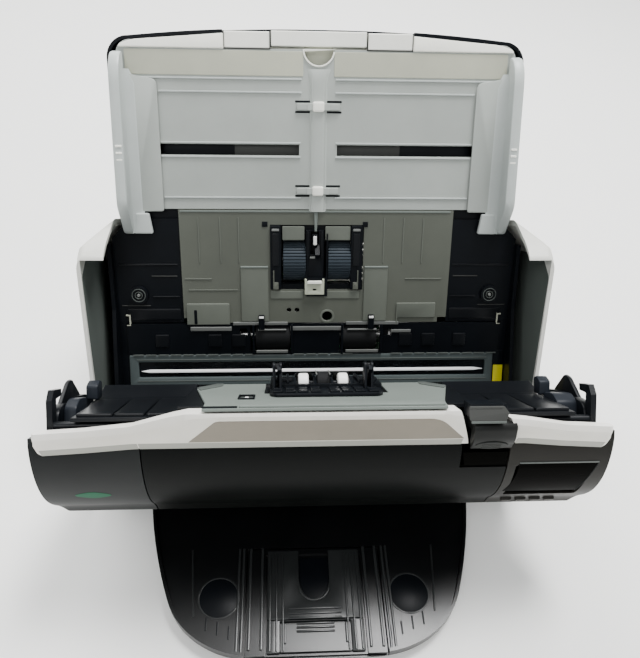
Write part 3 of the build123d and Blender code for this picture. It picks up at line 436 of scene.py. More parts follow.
# ---------------------------------------------------------------- CAD nodes: materials and edges
NODE_LOOKS = {
    "left_pod_cover": "pod_grey",
    "operator_panel": "pod_brown",
    "release_tab": "tab_grey",
    "chute_extension_outer": "chute_tab",
    "chute_extension_inner": "chute_tab",
    "chute_tray": "panel_grey",
    "funnel_plate": "funnel_grey",
    "cover_liner": "liner_black",
    "latch_bar": "liner_black",
    "pick_bracket": "dark_plastic",
    "page_sensor_lever": "dark_plastic",
    # the stacker's rear pieces take the painted-shadow copy, its front pieces the painted-lit copy
    "stacker_tray": "tray_painted_shadow",
    "stacker_slide_outer": "tray_painted_shadow",
    "stacker_slide_inner": "tray_painted_lit",
    "page_stopper": "tray_painted_lit",
}
for part in frame["record"]["subparts"]:
    piece = frame["nodes"][part["node"]]
    piece.data.materials.clear()
    look = NODE_LOOKS.get(part["node"], part["material_slot"])
    piece.data.materials.append(LOOKS[look][0])

SOFT_EDGES = {
    "left_side_cover": 0.5,
    "right_side_cover": 0.5,
    "rear_cover": 0.5,
    "chute_tray": 0.35,
    "chute_extension_outer": 0.9,
    "chute_extension_inner": 0.9,
    "pick_guide": 0.3,
    "front_cover": 0.4,
    "left_pod_cover": 0.4,
    "operator_panel": 0.4,
    "cover_arms": 0.5,
    "cover_liner": 0.3,
    "funnel_plate": 0.3,
    "inner_frames": 0.3,
    "base_pan": 0.4,
    "stacker_tray": 0.4,
    "brake_housing": 0.2,
}
for name, width in SOFT_EDGES.items():
    soften(name, width)


# ---------------------------------------------------------------- paper chute
def chute_panel():
    """Ridges, pale head with its brow, and the long slot on the chute's face, with painted highlights on the
    ridges and brow and painted shade in the slot and round the tabs.
    """
    slot_low, slot_high = CHUTE_SLOT
    ridges = []
    for x_low, x_high, up in (
        (10.5, 114.5, 79.5), (10.5, 98.0, 71.8), (11.0, 98.0, 7.8),
        (11.0, 98.4, slot_high + 0.8), (11.0, 98.4, slot_low - 0.8),
    ):
        ridges.append(pad(x_low, x_high, up - 0.55, up + 0.55, 0.4))
    # the ridges' paler look is a painted highlight along their tops
    plate("chute_ridges", CHUTE, mirrored(ridges), -0.1, 0.8, "guide_pale", edge=0.3)
    # the brow's bright colour is a painted highlight on the up-turned lip at the chute's top
    brow = [(57.6, 96.2), (120.5, 96.2), (119.5, 98.2), (112, 100.6), (57.6, 104.8)]
    hems = mirrored([rounded(brow, [0.5, 1, 2, 3, 0.5])])
    plate("chute_brow", CHUTE, hems, -0.4, 1.0, "chute_tab", edge=0.65)
    head = mirrored([pad(9.5, 117, 81.2, 95.4, 0.6)])
    plate("chute_head", CHUTE, head, -0.2, 0.35, "chute_cream", edge=0.15)
    # dark grey plate: the pale extension board behind the slot, painted in shade
    shaded_board = mirrored([box_outline(12, 52.7, slot_low, slot_high)])
    plate("chute_slot_board_shade", CHUTE, shaded_board, -4.1, -3.4, "slot_grey", edge=0.1)
    # black plate: painted shadow in the hollow behind the slot's outer half
    shadow = mirrored([box_outline(52.7, 98, slot_low, slot_high)])
    plate("chute_slot_shadow", CHUTE, shadow, -4.1, -3.6, "dark_plastic", edge=0.1)
    # dark lines of painted shade in the gaps round the tabs
    gap_shade = [
        box_outline(57.35, 57.85, 96.4, 105.5),
        box_outline(29.4, 29.95, 96.4, 106.5),
        box_outline(29.6, 57.6, 96.1, 96.6),
    ]
    plate("chute_tab_gap_shade", CHUTE, mirrored(gap_shade), -1.2, 0.35, "slot_grey", edge=0.05)


def chute_centre():
    """Centre rib, finger notch and the two clips of the chute, with painted shade in the gaps beside each
    clip.
    """
    rings = []
    for up, half, high in ((-1, 4.2, 1.7), (78, 4.2, 1.7), (82, 5.2, 1.5), (85.5, 6.4, 0.5)):
        rings.append([
            (-half - 1.2, up, 0.0), (-half, up, 0.6 * high), (-half * 0.5, up, high),
            (half * 0.5, up, high), (half, up, 0.6 * high), (half + 1.2, up, 0.0),
        ])
    loft("chute_rib", CHUTE, rings, "panel_grey", angle=50)
    centre, brim = (0, 96.5), 96.6
    outer = [point for point in ring(centre, 9.9, 48) if point[1] <= brim]
    inner = [point for point in ring(centre, 8.9, 48) if point[1] <= brim]
    plate("chute_notch_rim", CHUTE, [outer + inner[::-1]], -0.2, 0.8, "chute_tab", edge=0.25)
    plate("chute_notch_back", CHUTE, [ring((0, 96.0), 9.2)], -4.4, -3.9, "chute_cream", edge=0.1)
    for up, tag in ((63.6, "upper"), (12.2, "lower")):
        # dark lines of painted shade in the gaps above and below each clip
        gap_shade = [pad(-14.5, -5.2, up + 2.5, up + 3.7, 0.4), pad(-14.5, -5.2, up - 3.7, up - 2.5, 0.4)]
        plate(f"chute_clip_gap_shade_{tag}", CHUTE, mirrored(gap_shade), -0.1, 0.2, "dark_plastic", edge=0.1)
        clip = [pad(-13.5, 13.5, up - 2.1, up + 2.1, 1.0)]
        plate(f"chute_clip_{tag}", CHUTE, clip, 0.2, 1.6, "panel_grey", edge=0.4)
        pin = [pad(-3.6, 3.6, up - 3.1, up + 3.1, 1.4)]
        plate(f"chute_pin_{tag}", CHUTE, pin, 0.2, 3.3, "chute_tab", edge=1.0)


def side_guide(way, tag):
    """Tall page guide: a rounded wall, its broad flange, the hollow between them, grip ribs and foot."""
    body = f"{tag}_guide"
    outline = [(94, 1.0), (-15, 1.0), (-15, 6), (4, 19.6), (84, 14.6), (93, 8)]
    wall = [rounded(outline, [2, 1, 3, 5, 8, 4])]
    low, high = side_span(way, GUIDE_WALL - 0.5, GUIDE_WALL + 6.2)
    skin = plate(f"{tag}_guide_wall", CHUTE_SIDE, wall, low, high, "guide_pale", body, edge=1.5)
    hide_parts(f"{tag}_side_guide")
    outline = [(98.5, -1), (GUIDE_WALL, -1), (GUIDE_WALL, 83), (112, 80.5), (98.5, 78.5)]
    flange = [on_side(way, rounded(outline, [1.5, 0, 0, 5, 4]))]
    plate(f"{tag}_guide_flange", CHUTE, flange, 0.95, 2.3, "panel_grey", body, edge=0.5)
    rings = []
    for up, reach in ((-14.5, 5.0), (0, 7.5), (76, 7.5), (84, 3.5)):
        hollow = arc((GUIDE_WALL - reach, 2.1 + reach), reach, range(0, 91, 18))
        rings.append([(way * x, up, out) for x, out in [(GUIDE_WALL, 2.0)] + hollow])
    loft(f"{tag}_guide_fillet", CHUTE, rings, "guide_pale", body, angle=40)
    ribs = [rounded(box_outline(up, up + 1.3, 15.6, 17.9), 0.4) for up in (27, 31, 35, 39)]
    low, high = side_span(way, GUIDE_WALL + 0.6, GUIDE_WALL + 4.4)
    plate(f"{tag}_guide_ribs", CHUTE_SIDE, ribs, low, high, "chute_tab", body, edge=0.4)
    foot = rounded([(106, -15), (GUIDE_WALL, -15), (GUIDE_WALL, -2), (108, -2)], 1.2)
    plate(f"{tag}_guide_foot", CHUTE, [on_side(way, foot)], 0.8, 4.5, "guide_pale", body, edge=0.7)


chute_panel()
chute_centre()
side_guide(1, "right")
side_guide(-1, "left")


# ---------------------------------------------------------------- pick guide and rollers
def pick_plate():
    """Raised areas, ridges and slots of the grey plate round the pick rollers; raised faces are painted
    lighter as lit, step edges carry a painted highlight.
    """
    raised = [
        pad(-51, -32.5, 1, 39, 0.8),
        rounded([(-88, -1), (-59, -1), (-59, 14), (-88, 14)], [0.4, 0.6, 1.5, 1.5]),
        pad(32, 48, 1, 39, 0.8),
        rounded([(56, 3.5), (82, 3.5), (82, 14), (55, 14), (55, -1), (56, -1)], 0.6),
    ]
    plate("pick_guide_raised", PICK, raised, -0.3, 1.1, "guide_raised_lit", edge=0.4)
    lands = [
        pad(-31, -9, 17, 22.5, 1),
        pad(5, 29, 17, 22.5, 1),
        pad(-23, -8.4, 57.2, 66.4, 0.8),
        pad(5.4, 22, 57.2, 66.4, 0.8),
    ]
    plate("pick_guide_lands", PICK, lands, -0.6, 0.5, "guide_raised_lit", edge=0.25)
    lines = [pad(x, x + 0.7, 42, 72, 0.3) for x in (-78, -64, -52, 44, 57, 70)]
    lines += [pad(-88, -70, 30.6, 31.3, 0.3), pad(60, 85, 30.6, 31.3, 0.3), pad(-86, -53, 23, 23.6, 0.2)]
    plate("pick_guide_ridges", PICK, lines, -0.1, 0.45, "guide_raised_lit", edge=0.15)
    # the step edges' paler look is a painted highlight
    steps = [pad(-51, -32.5, 38.6, 39.8, 0.5), pad(32, 48, 38.6, 39.8, 0.5)]
    plate("pick_guide_steps", PICK, steps, 0.0, 1.5, "funnel_grey", edge=0.4)
    plate("pick_guide_crease", PICK, [pad(-89, 88, 75.4, 76.6, 0.5)], -0.2, 0.45, "funnel_grey", edge=0.15)
    plate("pick_guide_slot", PICK, [pad(-83, -81, -0.5, 9.5, 0.6)], 0.6, 1.25, "dark_plastic", edge=0.1)
    squares = [box_outline(-36.2, -32.6, 66, 69.4), box_outline(30, 33.4, 66, 69.4)]
    plate("pick_guide_squares", PICK, squares, -0.2, 0.4, "dark_plastic", edge=0.1)
    rib = rounded([(-1.8, 63), (-0.2, 63), (0.3, 76), (-2.3, 76)], 0.4)
    plate("pick_guide_rib", PICK, [rib], -0.1, 1.0, "funnel_grey", edge=0.4)
    hole = (7.4, 4.4)
    plate("pick_hole_rim", PICK, [ring(hole, 5.0), ring(hole, 3.5)], -0.2, 0.3, "guide_raised_lit", edge=0.15)
    for x, tag in ((-39.5, "left"), (35.5, "right")):
        plate(f"feed_post_{tag}", PICK, [pad(x, x + 4, -4, 6, 0.6)], 0.2, 4.0, "dark_plastic", edge=0.4)
        tip = [pad(x + 0.4, x + 3.6, 4.2, 5.6, 0.4)]
        plate(f"feed_post_tip_{tag}", PICK, tip, 3.7, 4.4, "roller_white", edge=0.2)


def pick_bars():
    """Dark bars at both sides of the pick rollers, with a rib, a bright cap and a grey foot on each."""
    foot = [(25, 24), (28.6, 24), (28.6, 37), (27.8, 37), (27.8, 29), (25, 29)]
    shapes = (
        ("pick_bar", pad(23.2, 30.4, 24, 67, [0.6, 0.6, 1, 1]), -3.0, 1.6, "dark_plastic", 0.5),
        ("pick_bar_rib", pad(24.6, 29.0, 40, 62, 0.6), 1.2, 2.4, "liner_black", 0.4),
        ("pick_bar_cap", pad(24.4, 29.2, 63.4, 65, 0.4), 1.3, 2.2, "trim_silver", 0.2),
        ("pick_bar_foot", rounded(foot, 0.4), 1.3, 2.3, "guide_grey", 0.25),
    )
    for way, tag in SIDES:
        for name, shape, low, high, look, edge in shapes:
            outline = [(x + PICK_SHIFT, up) for x, up in on_side(way, shape)]
            plate(f"{name}_{tag}", PICK, [outline], low, high, look, edge=edge)


def pick_module():
    """Cheeks, centre block, tip of the sensor lever and latch clip round the pick rollers."""
    cheeks = [box_outline(x, x + 1.1, 26, 66) for x in (-31.9, -24.3, 23.1, 29.4)]
    plate("pick_cheeks", PICK, cheeks, -12, -3, "dark_plastic", edge=0.2)
    block = [pad(-7.6, 4.6, 30, 64, 0.8), pad(-4.2, 1.0, 47.8, 63.4, 0.4)]
    plate("pick_centre_block", PICK, block, -6.5, 0.6, "dark_plastic", edge=0.5)
    plate("pick_centre_base", PICK, [box_outline(-7.4, 6.9, 28, 66)], -9.5, -6.6, "dark_plastic", edge=0.2)
    ribs = [pad(x, x + 1, 46, 63, 0.3) for x in (-6.6, 2.6)]
    plate("pick_centre_ribs", PICK, ribs, 0.3, 2.0, "liner_black", edge=0.3)
    plate("pick_centre_bar", PICK, [pad(-4.8, 1.8, 45.0, 46.4, 0.4)], 0.4, 1.6, "trim_silver", edge=0.3)
    cap = [pad(-3.4, 0.4, 53.5, 61.5, 0.8)]
    plate("pick_lever_cap", PICK, cap, 0.5, 2.6, "dark_plastic", "sensor_lever", edge=0.5)
    tip = [pad(-2.6, -0.4, 54.5, 60.4, 0.7)]
    plate("pick_lever_tip", PICK, tip, 2.3, 3.8, "roller_white", "sensor_lever", edge=0.4)
    outline = [
        (-8.2, 20.5), (5.0, 20.5), (5.0, 31.5), (3.6, 31.5),
        (3.6, 29.5), (-6.8, 29.5), (-6.8, 31.5), (-8.2, 31.5),
    ]
    clip = [rounded(outline, 0.6), ring((-1.6, 24.0), 1.3, 20, 0.5)]
    plate("pick_clip", PICK, clip, 0.8, 3.2, "clip_beige", edge=0.5)
    plate("pick_clip_lip", PICK, [pad(-6.4, 3.2, 28.2, 30.4, 0.5)], 2.9, 4.0, "chute_tab", edge=0.4)


def grooved_roller(name, place, centre, radius, x_low, x_high, teeth, look, body, depth=0.7):
    """Roller with grooved rubber and a plain hub that shows at both ends."""
    tread = [toothed(centre, radius - 0.1, depth, teeth)]
    rubber = plate(name, place, tread, x_low, x_high, look, body, edge=0.35)
    hub = [(x_low - 0.5, radius * 0.55), (x_high + 0.5, radius * 0.55)]
    turned(f"{name}_hub", place, centre, hub, "dark_plastic", body)
    return rubber


def local_axis(place, up, out):
    """Side-view (y, z) in millimetres of a point on a path place."""
    point = place @ Vector((0, up, out)) / MM
    return (point.y, point.z)


def pick_rollers():
    """Two grooved rollers on the pick shaft, in place of the hidden CAD pair."""
    axis = local_axis(PICK, PICK_UP, PICK_PROUD - PICK_ROLLER)
    for way, tag in SIDES:
        low, high = side_span(way, 7.5, 22.5)
        grooved_roller(
            f"pick_roller_{tag}", SIDE, axis, PICK_ROLLER, low, high, PICK_TEETH, "rubber_blue_grey",
            "pick_drive",
        )
    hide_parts("pick_rollers")


pick_plate()
pick_bars()
pick_module()
pick_rollers()


# ---------------------------------------------------------------- feed bed, glass and frames
def feed_area():
    """Silver bars, black steps and the toothed edge between the pick plate and the glass."""
    bars = [
        pad(-86, -58, 17.6, 20.6, 0.5),
        pad(-57, -19.6, 21.6, 24, 0.5),
        pad(-18, 19, 17.6, 20.6, 0.5),
        pad(20.6, 57, 21.6, 24, 0.5),
        pad(52, 66, 15.8, 18, 0.5),
    ]
    plate("feed_bars", FEED, bars, 0.0, 0.9, "trim_silver", edge=0.35)
    lips = [
        pad(-41.5, -19.6, 1.4, 3.6, 0.5),
        pad(20.6, 43.5, 1.4, 3.6, 0.5),
        pad(-40, -20.6, 17.8, 19, 0.4),
        pad(21.6, 42, 17.8, 19, 0.4),
    ]
    plate("feed_roller_lips", FEED, lips, 0.4, 1.7, "trim_silver", edge=0.4)
    # the toothed edge stops at the two feed rollers
    spots = [8.5 * k - 126 for k in range(30)]
    teeth = [pad(x, x + 7.2, -0.2, 0.7, 0.3) for x in spots if abs(x + 30) > 13 and abs(x - 32) > 13]
    plate("feed_edge_line", FEED, teeth, 0.5, 1.2, "funnel_dark", edge=0.2)
    blocks = [pad(x, x + 9, 6, 15, 0.8) for x in (-110, -74, -58, 58, 74, 96)]
    plate("feed_bed_blocks", FEED, blocks, -0.4, 0.9, "liner_black", edge=0.4)
    walls = []
    for x_low, x_high in ((-44, -42.4), (-17.6, -16.2), (17.2, 18.8), (44.4, 46)):
        walls.append(pad(x_low, x_high, 0.6, 22, 0.4))
    plate("feed_bed_walls", FEED, walls, -0.3, 2.0, "dark_plastic", edge=0.4)


def scan_window():
    """Frame of the scan glass with its lines, the bright strip, the dark well and the end plate."""
    half, low, high = 122.8, 6.3, 17.3
    outlines = [pad(-GLASS_HALF, 126.0, 0.6, 22.2, 1), pad(-half, half - 2.4, low, high, 0.8)]
    rim = plate("glass_frame", GLASS, outlines, -4.0, 0.4, "frame_grey", edge=0.5)
    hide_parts("rear_glass_frame")
    lines = [pad(-half - 1, half - 1, up, up + 0.7, 0.3) for up in (18.6, 3.4)]
    plate("glass_frame_lines", GLASS, lines, 0.2, 0.7, "funnel_dark", edge=0.15)
    outline = [(-121.5, 10.6), (-116, 9.5), (113, 9.5), (119.4, 10.6), (113, 11.7), (-116, 11.7)]
    strip = [rounded(outline, [0.4, 2, 2, 0.4, 2, 2])]
    plate("light_strip", GLASS, strip, -1.15, -0.4, "light_white", edge=0.2)
    well = [box_outline(-half, half - 2.2, low, high)]
    plate("glass_well", GLASS, well, -1.9, -1.3, "dark_plastic", edge=0.1)
    plate("glass_end_plate", GLASS, [pad(126.2, 133.6, -1, 24, 0.5)], -1.5, 0.2, "dark_plastic", edge=0.3)
    plate("plain_patch", GLASS, [pad(126.6, 133.4, 1.0, 13.4, 0.4)], 0.2, 0.5, "patch_yellow", edge=0.1)


def side_bays():
    """Panels, panel lines, a pale bracket and a screw on each black inner frame."""
    hook = [(126, -2), (129, -2), (129, -1), (127, -1), (127, 5), (129, 5), (129, 6), (126, 6)]
    for way, tag in SIDES:
        shapes = (pad(92, 131, 40, 41.2, 1.5), pad(92, 128, 2, 10, 1.5), pad(92, 110, 18, 19, 1.5))
        panels = [on_side(way, shape) for shape in shapes]
        plate(f"frame_panels_{tag}", PICK, panels, -1.2, -0.3, "liner_black", edge=0.35)
        marks = [on_side(way, mark) for mark in (pad(93, 110, 32.4, 33, 0.3), pad(112, 131, 12, 12.5, 0.2))]
        plate(f"frame_lines_{tag}", PICK, marks, -1.1, -0.5, "slot_grey", edge=0.15)
        bracket = [on_side(way, rounded(hook, 0.3))]
        plate(f"frame_bracket_{tag}", PICK, bracket, -1.1, 0.0, "chute_cream", edge=0.2)
        screw = (way * 119, 20)
        rims = [ring(screw, radius) for radius in (4.6, 4.1, 2.6, 2.1)]
        plate(f"frame_screw_{tag}", PICK, rims, 1.2, 1.9, "funnel_dark", edge=0.15)
        plate(f"frame_screw_core_{tag}", PICK, [ring(screw, 1.2)], -0.8, 1.7, "trim_silver", edge=0.3)


def side_walls_and_shade():
    """Dark wall behind each upper frame, and a grey plate of painted shade on the pale inner wall of each
    side cover.
    """
    shaded_wall = rounded([(-12, 6), (-10, 30), (33, 138), (50, 142), (84, 120), (84, 6)], 2)
    for way, tag in SIDES:
        upper = on_side(way, box_outline(89, 125, 60, 79))
        plate(f"frame_upper_{tag}", PICK, [upper], -4.2, -3.2, "dark_plastic", edge=0.2)
        # grey plate of painted shade on the pale inner wall of the side cover
        low, high = side_span(way, 143.3, 144.0)
        plate(f"side_wall_shade_{tag}", SIDE, [shaded_wall], low, high, "side_wall_shade_grey", edge=0.3)


feed_area()
scan_window()
side_bays()
side_walls_and_shade()


# ---------------------------------------------------------------- front cover: band and face
# points of the pale band in the shut cover's side view
BAND_LOW = 146.3
BAND_FOOT = (24.0, BAND_LOW - 1)
UNDERSIDE_LOW = (22.3, 146.1)
BAND_FRONT = (25.9, 150.5)
FACET_TOP = (39.0, 160.6)
# distance from the middle to its ends, their place ahead of the rest, and the slant of its cuts at the tab
BAND_END = 145.8
END_FORE = 2.8
MID_FORE = 0.6 * END_FORE
GAP_SLANT = 0.4


def band_section(x, facet, ridge, rear, slant=0.0, fore=0.0):
    """Section of the pale band at x, in the shut cover's side view, slanted and moved to the fore."""
    points = [BAND_FOOT, UNDERSIDE_LOW, BAND_FRONT, facet, ridge, rear, (rear[0], BAND_LOW)]
    return [(y - fore, z, x - slant * (y - BAND_FRONT[0])) for y, z in points]


def band_tip(x, drawn):
    """Section near a band's outer end, drawn in to round the end."""
    points = [
        BAND_FOOT,
        (22.5 + drawn, 146.4),
        (26.0 + drawn, 150.2),
        (28.6 + drawn, 152.6 - drawn),
        (31.4 + drawn, 155.0 - 1.6 * drawn),
        (35, 155.2 - 1.6 * drawn),
        (35, BAND_LOW),
    ]
    return [(y - END_FORE, z, x) for y, z in points]


def underside_shade_strip(name, *stations):
    """Thin strip of painted shade on the band's down-facing lowest face, through stations of x and distance
    to the fore.
    """
    low_y, low_z = UNDERSIDE_LOW
    front_y, front_z = BAND_FRONT
    line = [
        (low_y, low_z - 0.1),
        (low_y - 0.3, low_z + 0.1),
        (front_y - 0.3, front_z - 0.2),
        (front_y + 0.1, front_z - 0.3),
    ]
    rings = [[(y - fore, z, x) for y, z in line] for x, fore in stations]
    loft(name, COVER_SIDE, rings, "band_underside_shade", "cover", angle=30)


def cover_band():
    """Pale band in two lengths, with low rounded ends and a tall centre cut by a slanted facet; the facet and
    the band's lowest face are painted in shade.
    """
    end = ((28.7, 152.8), (31.8, 155.3), (35, 155.5))
    rear = (42.4, 161.4)
    centre = (FACET_TOP, (40.8, 161.4), rear)
    rings = [
        band_tip(-BAND_END, 2.0),
        band_tip(-BAND_END + 0.7, 0.9),
        band_section(-BAND_END + 2.4, *end, fore=END_FORE),
        band_section(-122, *end, fore=MID_FORE),
        band_section(-98, (28.9, 153.2), (32.0, 155.8), (35.6, 156.6)),
        band_section(-78, (30.0, 154.2), (35.6, 158.4), (40.8, 159.6)),
        band_section(-70, (31.4, 155.4), (39.4, 160.8), rear),
        band_section(-55.5, *centre),
        band_section(56.5, *centre),
        band_section(71.0, (29.8, 153.8), (39.4, 160.8), rear, GAP_SLANT),
    ]
    band = loft("band_long", COVER_SIDE, rings, "band_light", "cover", angle=7)
    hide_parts("cover_band")
    short = [
        band_section(95.6, (29.6, 153.8), (34.4, 157.6), (37.6, 158.0), GAP_SLANT),
        band_section(102, (29, 153.2), (33, 156.2), (36.4, 156.6)),
        band_section(122, *end, fore=MID_FORE),
        band_section(BAND_END - 2.4, *end, fore=END_FORE),
        band_tip(BAND_END - 0.7, 0.9),
        band_tip(BAND_END, 2.0),
    ]
    loft("band_short", COVER_SIDE, short, "band_light", "cover", angle=7)
    # the facet plate's darker colour is painted shade
    facet_place = SWING @ stretch_place(BAND_FRONT, FACET_TOP)
    facet = rounded([(-70, 0.4), (-55.5, 15.9), (55, 15.9), (69, 0.4)], [0.3, 2, 6, 0.5])
    plate("band_facet", facet_place, [facet], -0.3, 0.22, "band_painted_shade", "cover", edge=0.12)
    # strips of painted shade along the band's lowest face
    underside_shade_strip("underside_shade_left_end", (-143, END_FORE), (-122, MID_FORE), (-98, 0.0), (-95.4, 0.0))
    underside_shade_strip("underside_shade_long", (-94.8, 0.0), (68.6, 0.0))
    underside_shade_strip("underside_shade_right_end", (97, 0.0), (102, 0.0), (122, MID_FORE), (143, END_FORE))


def face_point(x, angle, layer):
    """Point on the round front face, in the shut cover's side view, at an angle forward of its top."""
    reach = FACE_RADIUS + layer
    turn = math.radians(angle)
    return (FACE_CENTRE[0] - reach * math.sin(turn), FACE_CENTRE[1] + reach * math.cos(turn), x)


def face_skin(name, outline, look, low=-0.3, high=0.25, rows=14):
    """Thin curved patch on the front face; outline(t) gives the left x, right x and angle of each row."""
    inset = 0.25
    rings = []
    for k in range(rows + 1):
        left, right, angle = outline(k / rows)
        rings.append([
            face_point(left, angle, low), face_point(left, angle, high - inset),
            face_point(left + inset, angle, high), face_point(right - inset, angle, high),
            face_point(right, angle, high - inset), face_point(right, angle, low),
        ])
    return loft(name, COVER_SIDE, rings, look, "cover", angle=45)


def between(a, b, t):
    """Value part of the way from a to b."""
    return a + (b - a) * t


def badge_row(t):
    """Ends and angle of one row of the oval badge."""
    half = 9.6 * math.sin(math.pi * between(0.06, 0.94, t))
    return -123.5 - half, -123.5 + half, between(43.6, 50.4, t)


def front_face():
    """Display glass with its two edge lines, plain oval badge and the painted shadow in the pocket behind the
    tab.
    """
    face_skin(
        "display_glass",
        lambda t: (between(101.4, 97.8, t * t), between(144.2, 138.2, t), between(26.2, 52.0, t)),
        "display_black", high=0.15,
    )
    face_skin(
        "display_upper_line",
        lambda t: (101.6, 144.6, between(25.3, 26.2, t)),
        "funnel_dark", high=0.3, rows=3,
    )
    face_skin(
        "display_right_line",
        lambda t: (between(144.2, 138.2, t), between(144.9, 138.9, t), between(26.0, 52.0, t)),
        "pod_grey", high=0.3,
    )
    face_skin("plain_badge", badge_row, "patch_green", high=0.12)
    face_skin(
        "pocket_shadow",
        lambda t: (between(70.2, 71.6, t), between(94.4, 94.2, t), between(18.4, 26.6, t)),
        "display_black", low=-0.8, high=0.12,
    )


def release_grip():
    """Release tab with its oval grip and three lines, and the dark catch plate behind it."""
    nose, brow = (20.0, 149.0), (25.6, 156.0)
    outline = [nose, brow, (33, 159.2), (35.4, 157.6), (35.6, 138), (30.6, 138), (30.8, 151), (24, 148.6)]
    skin = [rounded(outline, [1, 3, 2, 1, 1, 1, 1, 1])]
    tab = plate("tab_body", COVER_SIDE, skin, 72.4, 94.0, "tab_grey", "latch", edge=0.6)
    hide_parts("release_tab")
    tab_place = SWING @ stretch_place(nose, brow)
    grip = [ring((82.6, 4.6), 8.4, squash=0.45)]
    plate("tab_grip", tab_place, grip, -0.3, 0.5, "grip_grey", "latch", edge=0.3)
    lines = [pad(77.4, 87.4, 4.3 + 1.7 * k, 4.9 + 1.7 * k, 0.3) for k in (-1, 0, 1)]
    plate("tab_grip_lines", tab_place, lines, 0.3, 0.8, "slot_grey", "latch", edge=0.2)
    catch = rounded([(68.4, 0.6), (69.6, -1.2), (86.5, -1.2), (88.4, 3.5), (86, 7.0), (68.4, 7.0)], 0.8)
    catch_place = SWING @ stretch_place((37.6, 161.6), (45.6, 160.4))
    plate("catch_plate", catch_place, [catch], 0.0, 0.8, "slot_grey", "cover", edge=0.3)
    stem = [(38.6, 148), (45.4, 148), (45.4, 160.6), (38.6, 161.4)]
    plate("catch_stem", COVER_SIDE, [stem], 69.2, 87.6, "dark_plastic", "cover", edge=0.3)
    # raised rim along the catch's lower edge; its paler grey is a painted highlight
    rim = [pad(69.2, 86.8, -1.6, -0.4, 0.4)]
    plate("catch_rim", catch_place, rim, 0.2, 1.1, "funnel_dark", "cover", edge=0.3)
    lip = [pad(68.6, 85, 5.6, 6.8, 0.4)]
    plate("catch_back", catch_place, lip, 0.5, 1.0, "slot_grey", "cover", edge=0.2)


def liner_details():
    """Raised fields, side fins, round ears and bumpers of the cover's black inner side."""
    fin = rounded([(22, 94), (40, 89), (52, 104), (50.5, 110), (38, 127), (24, 122)], [2, 3, 3, 2, 4, 3])
    ear = rounded([(24, 116), (38, 112), (42, 122), (40, 134), (28, 138), (23, 132)], [1, 4, 4, 4, 2, 2])
    for way, tag in SIDES:
        fields = []
        for x_low, x_high in ((76, 92), (93, 108), (109, 127)):
            fields.append(on_side(way, pad(x_low, x_high, 98, 143, 1.0)))
        plate(f"liner_fields_{tag}", COVER_FRONT, fields, -39.6, -37.6, "liner_black", "cover", edge=0.5)
        low, high = side_span(way, 140.6, 143.1)
        plate(f"side_fin_{tag}", COVER_SIDE, [fin], low, high, "liner_black", "cover", edge=0.9)
        low, high = side_span(way, 138.0, 143.1)
        plate(f"side_ear_{tag}", COVER_SIDE, [ear], low, high, "dark_plastic", "cover", edge=1.2)
    front = rounded([(24, 129), (40, 127), (43.5, 120), (42, 108), (24, 108)], [1, 2, 3, 2, 1])
    for x_low, x_high, tag in ((-138, -131.5, "left"), (127, 138.4, "right")):
        plate(f"bumper_front_{tag}", COVER_SIDE, [front], x_low, x_high, "bumper_blue", "cover", edge=0.9)
    rear = rounded([(40, 98), (49, 97), (50.5, 101), (48, 107), (40, 107)], 1.5)
    for x_low, x_high, tag in ((-132.5, -126, "left"), (125, 131.5, "right")):
        plate(f"bumper_rear_{tag}", COVER_SIDE, [rear], x_low, x_high, "bumper_blue", "cover", edge=0.8)


def on_cover(name, face, outlines, look, proud, sunk=0.0, edge=0.3):
    """Plates on a face of the cover's inner side, by how far they stand proud of it and sink into it."""
    plate(name, COVER_FRONT, outlines, face - proud, face + sunk, look, "cover", edge=edge)


def funnel_details():
    """Bevelled corners in painted shade, the small window and folded front edge of the grey funnel plate."""
    # darker plates: painted shade on the plate's bevelled corners
    corner = rounded([(-72, 100), (-62.4, 86.4), (-58, 86.4), (-58, 94), (-69, 108)], 0.5)
    on_cover("funnel_corner_shade", FUNNEL_FACE, mirrored([corner]), "funnel_dark", 0.8, edge=0.25)
    rim = [pad(-46.4, -37.6, 126.6, 137.4, 0.8), pad(-45.4, -38.6, 127.6, 136.4, 0.5)]
    on_cover("funnel_window_rim", FUNNEL_FACE, rim, "dark_plastic", 1.2)
    back = [box_outline(-46, -38, 127, 137)]
    on_cover("funnel_window_back", FUNNEL_FACE, back, "dark_plastic", -0.6, 1.2, edge=0.1)
    light = [pad(-43, -41, 130.5, 132.5, 0.8)]
    on_cover("funnel_window_light", FUNNEL_FACE, light, "roller_white", 0.6, 0.4, edge=0.2)
    on_cover("funnel_fold", FUNNEL_FACE, [pad(-44, 57, 152, 160, 0.8)], "funnel_grey", 1.6, edge=0.6)
    slot = [pad(-62, -45, 157.0, 160.2, 0.5)]
    on_cover("funnel_slot", FUNNEL_FACE, slot, "dark_plastic", 0.8, 0.2, edge=0.2)


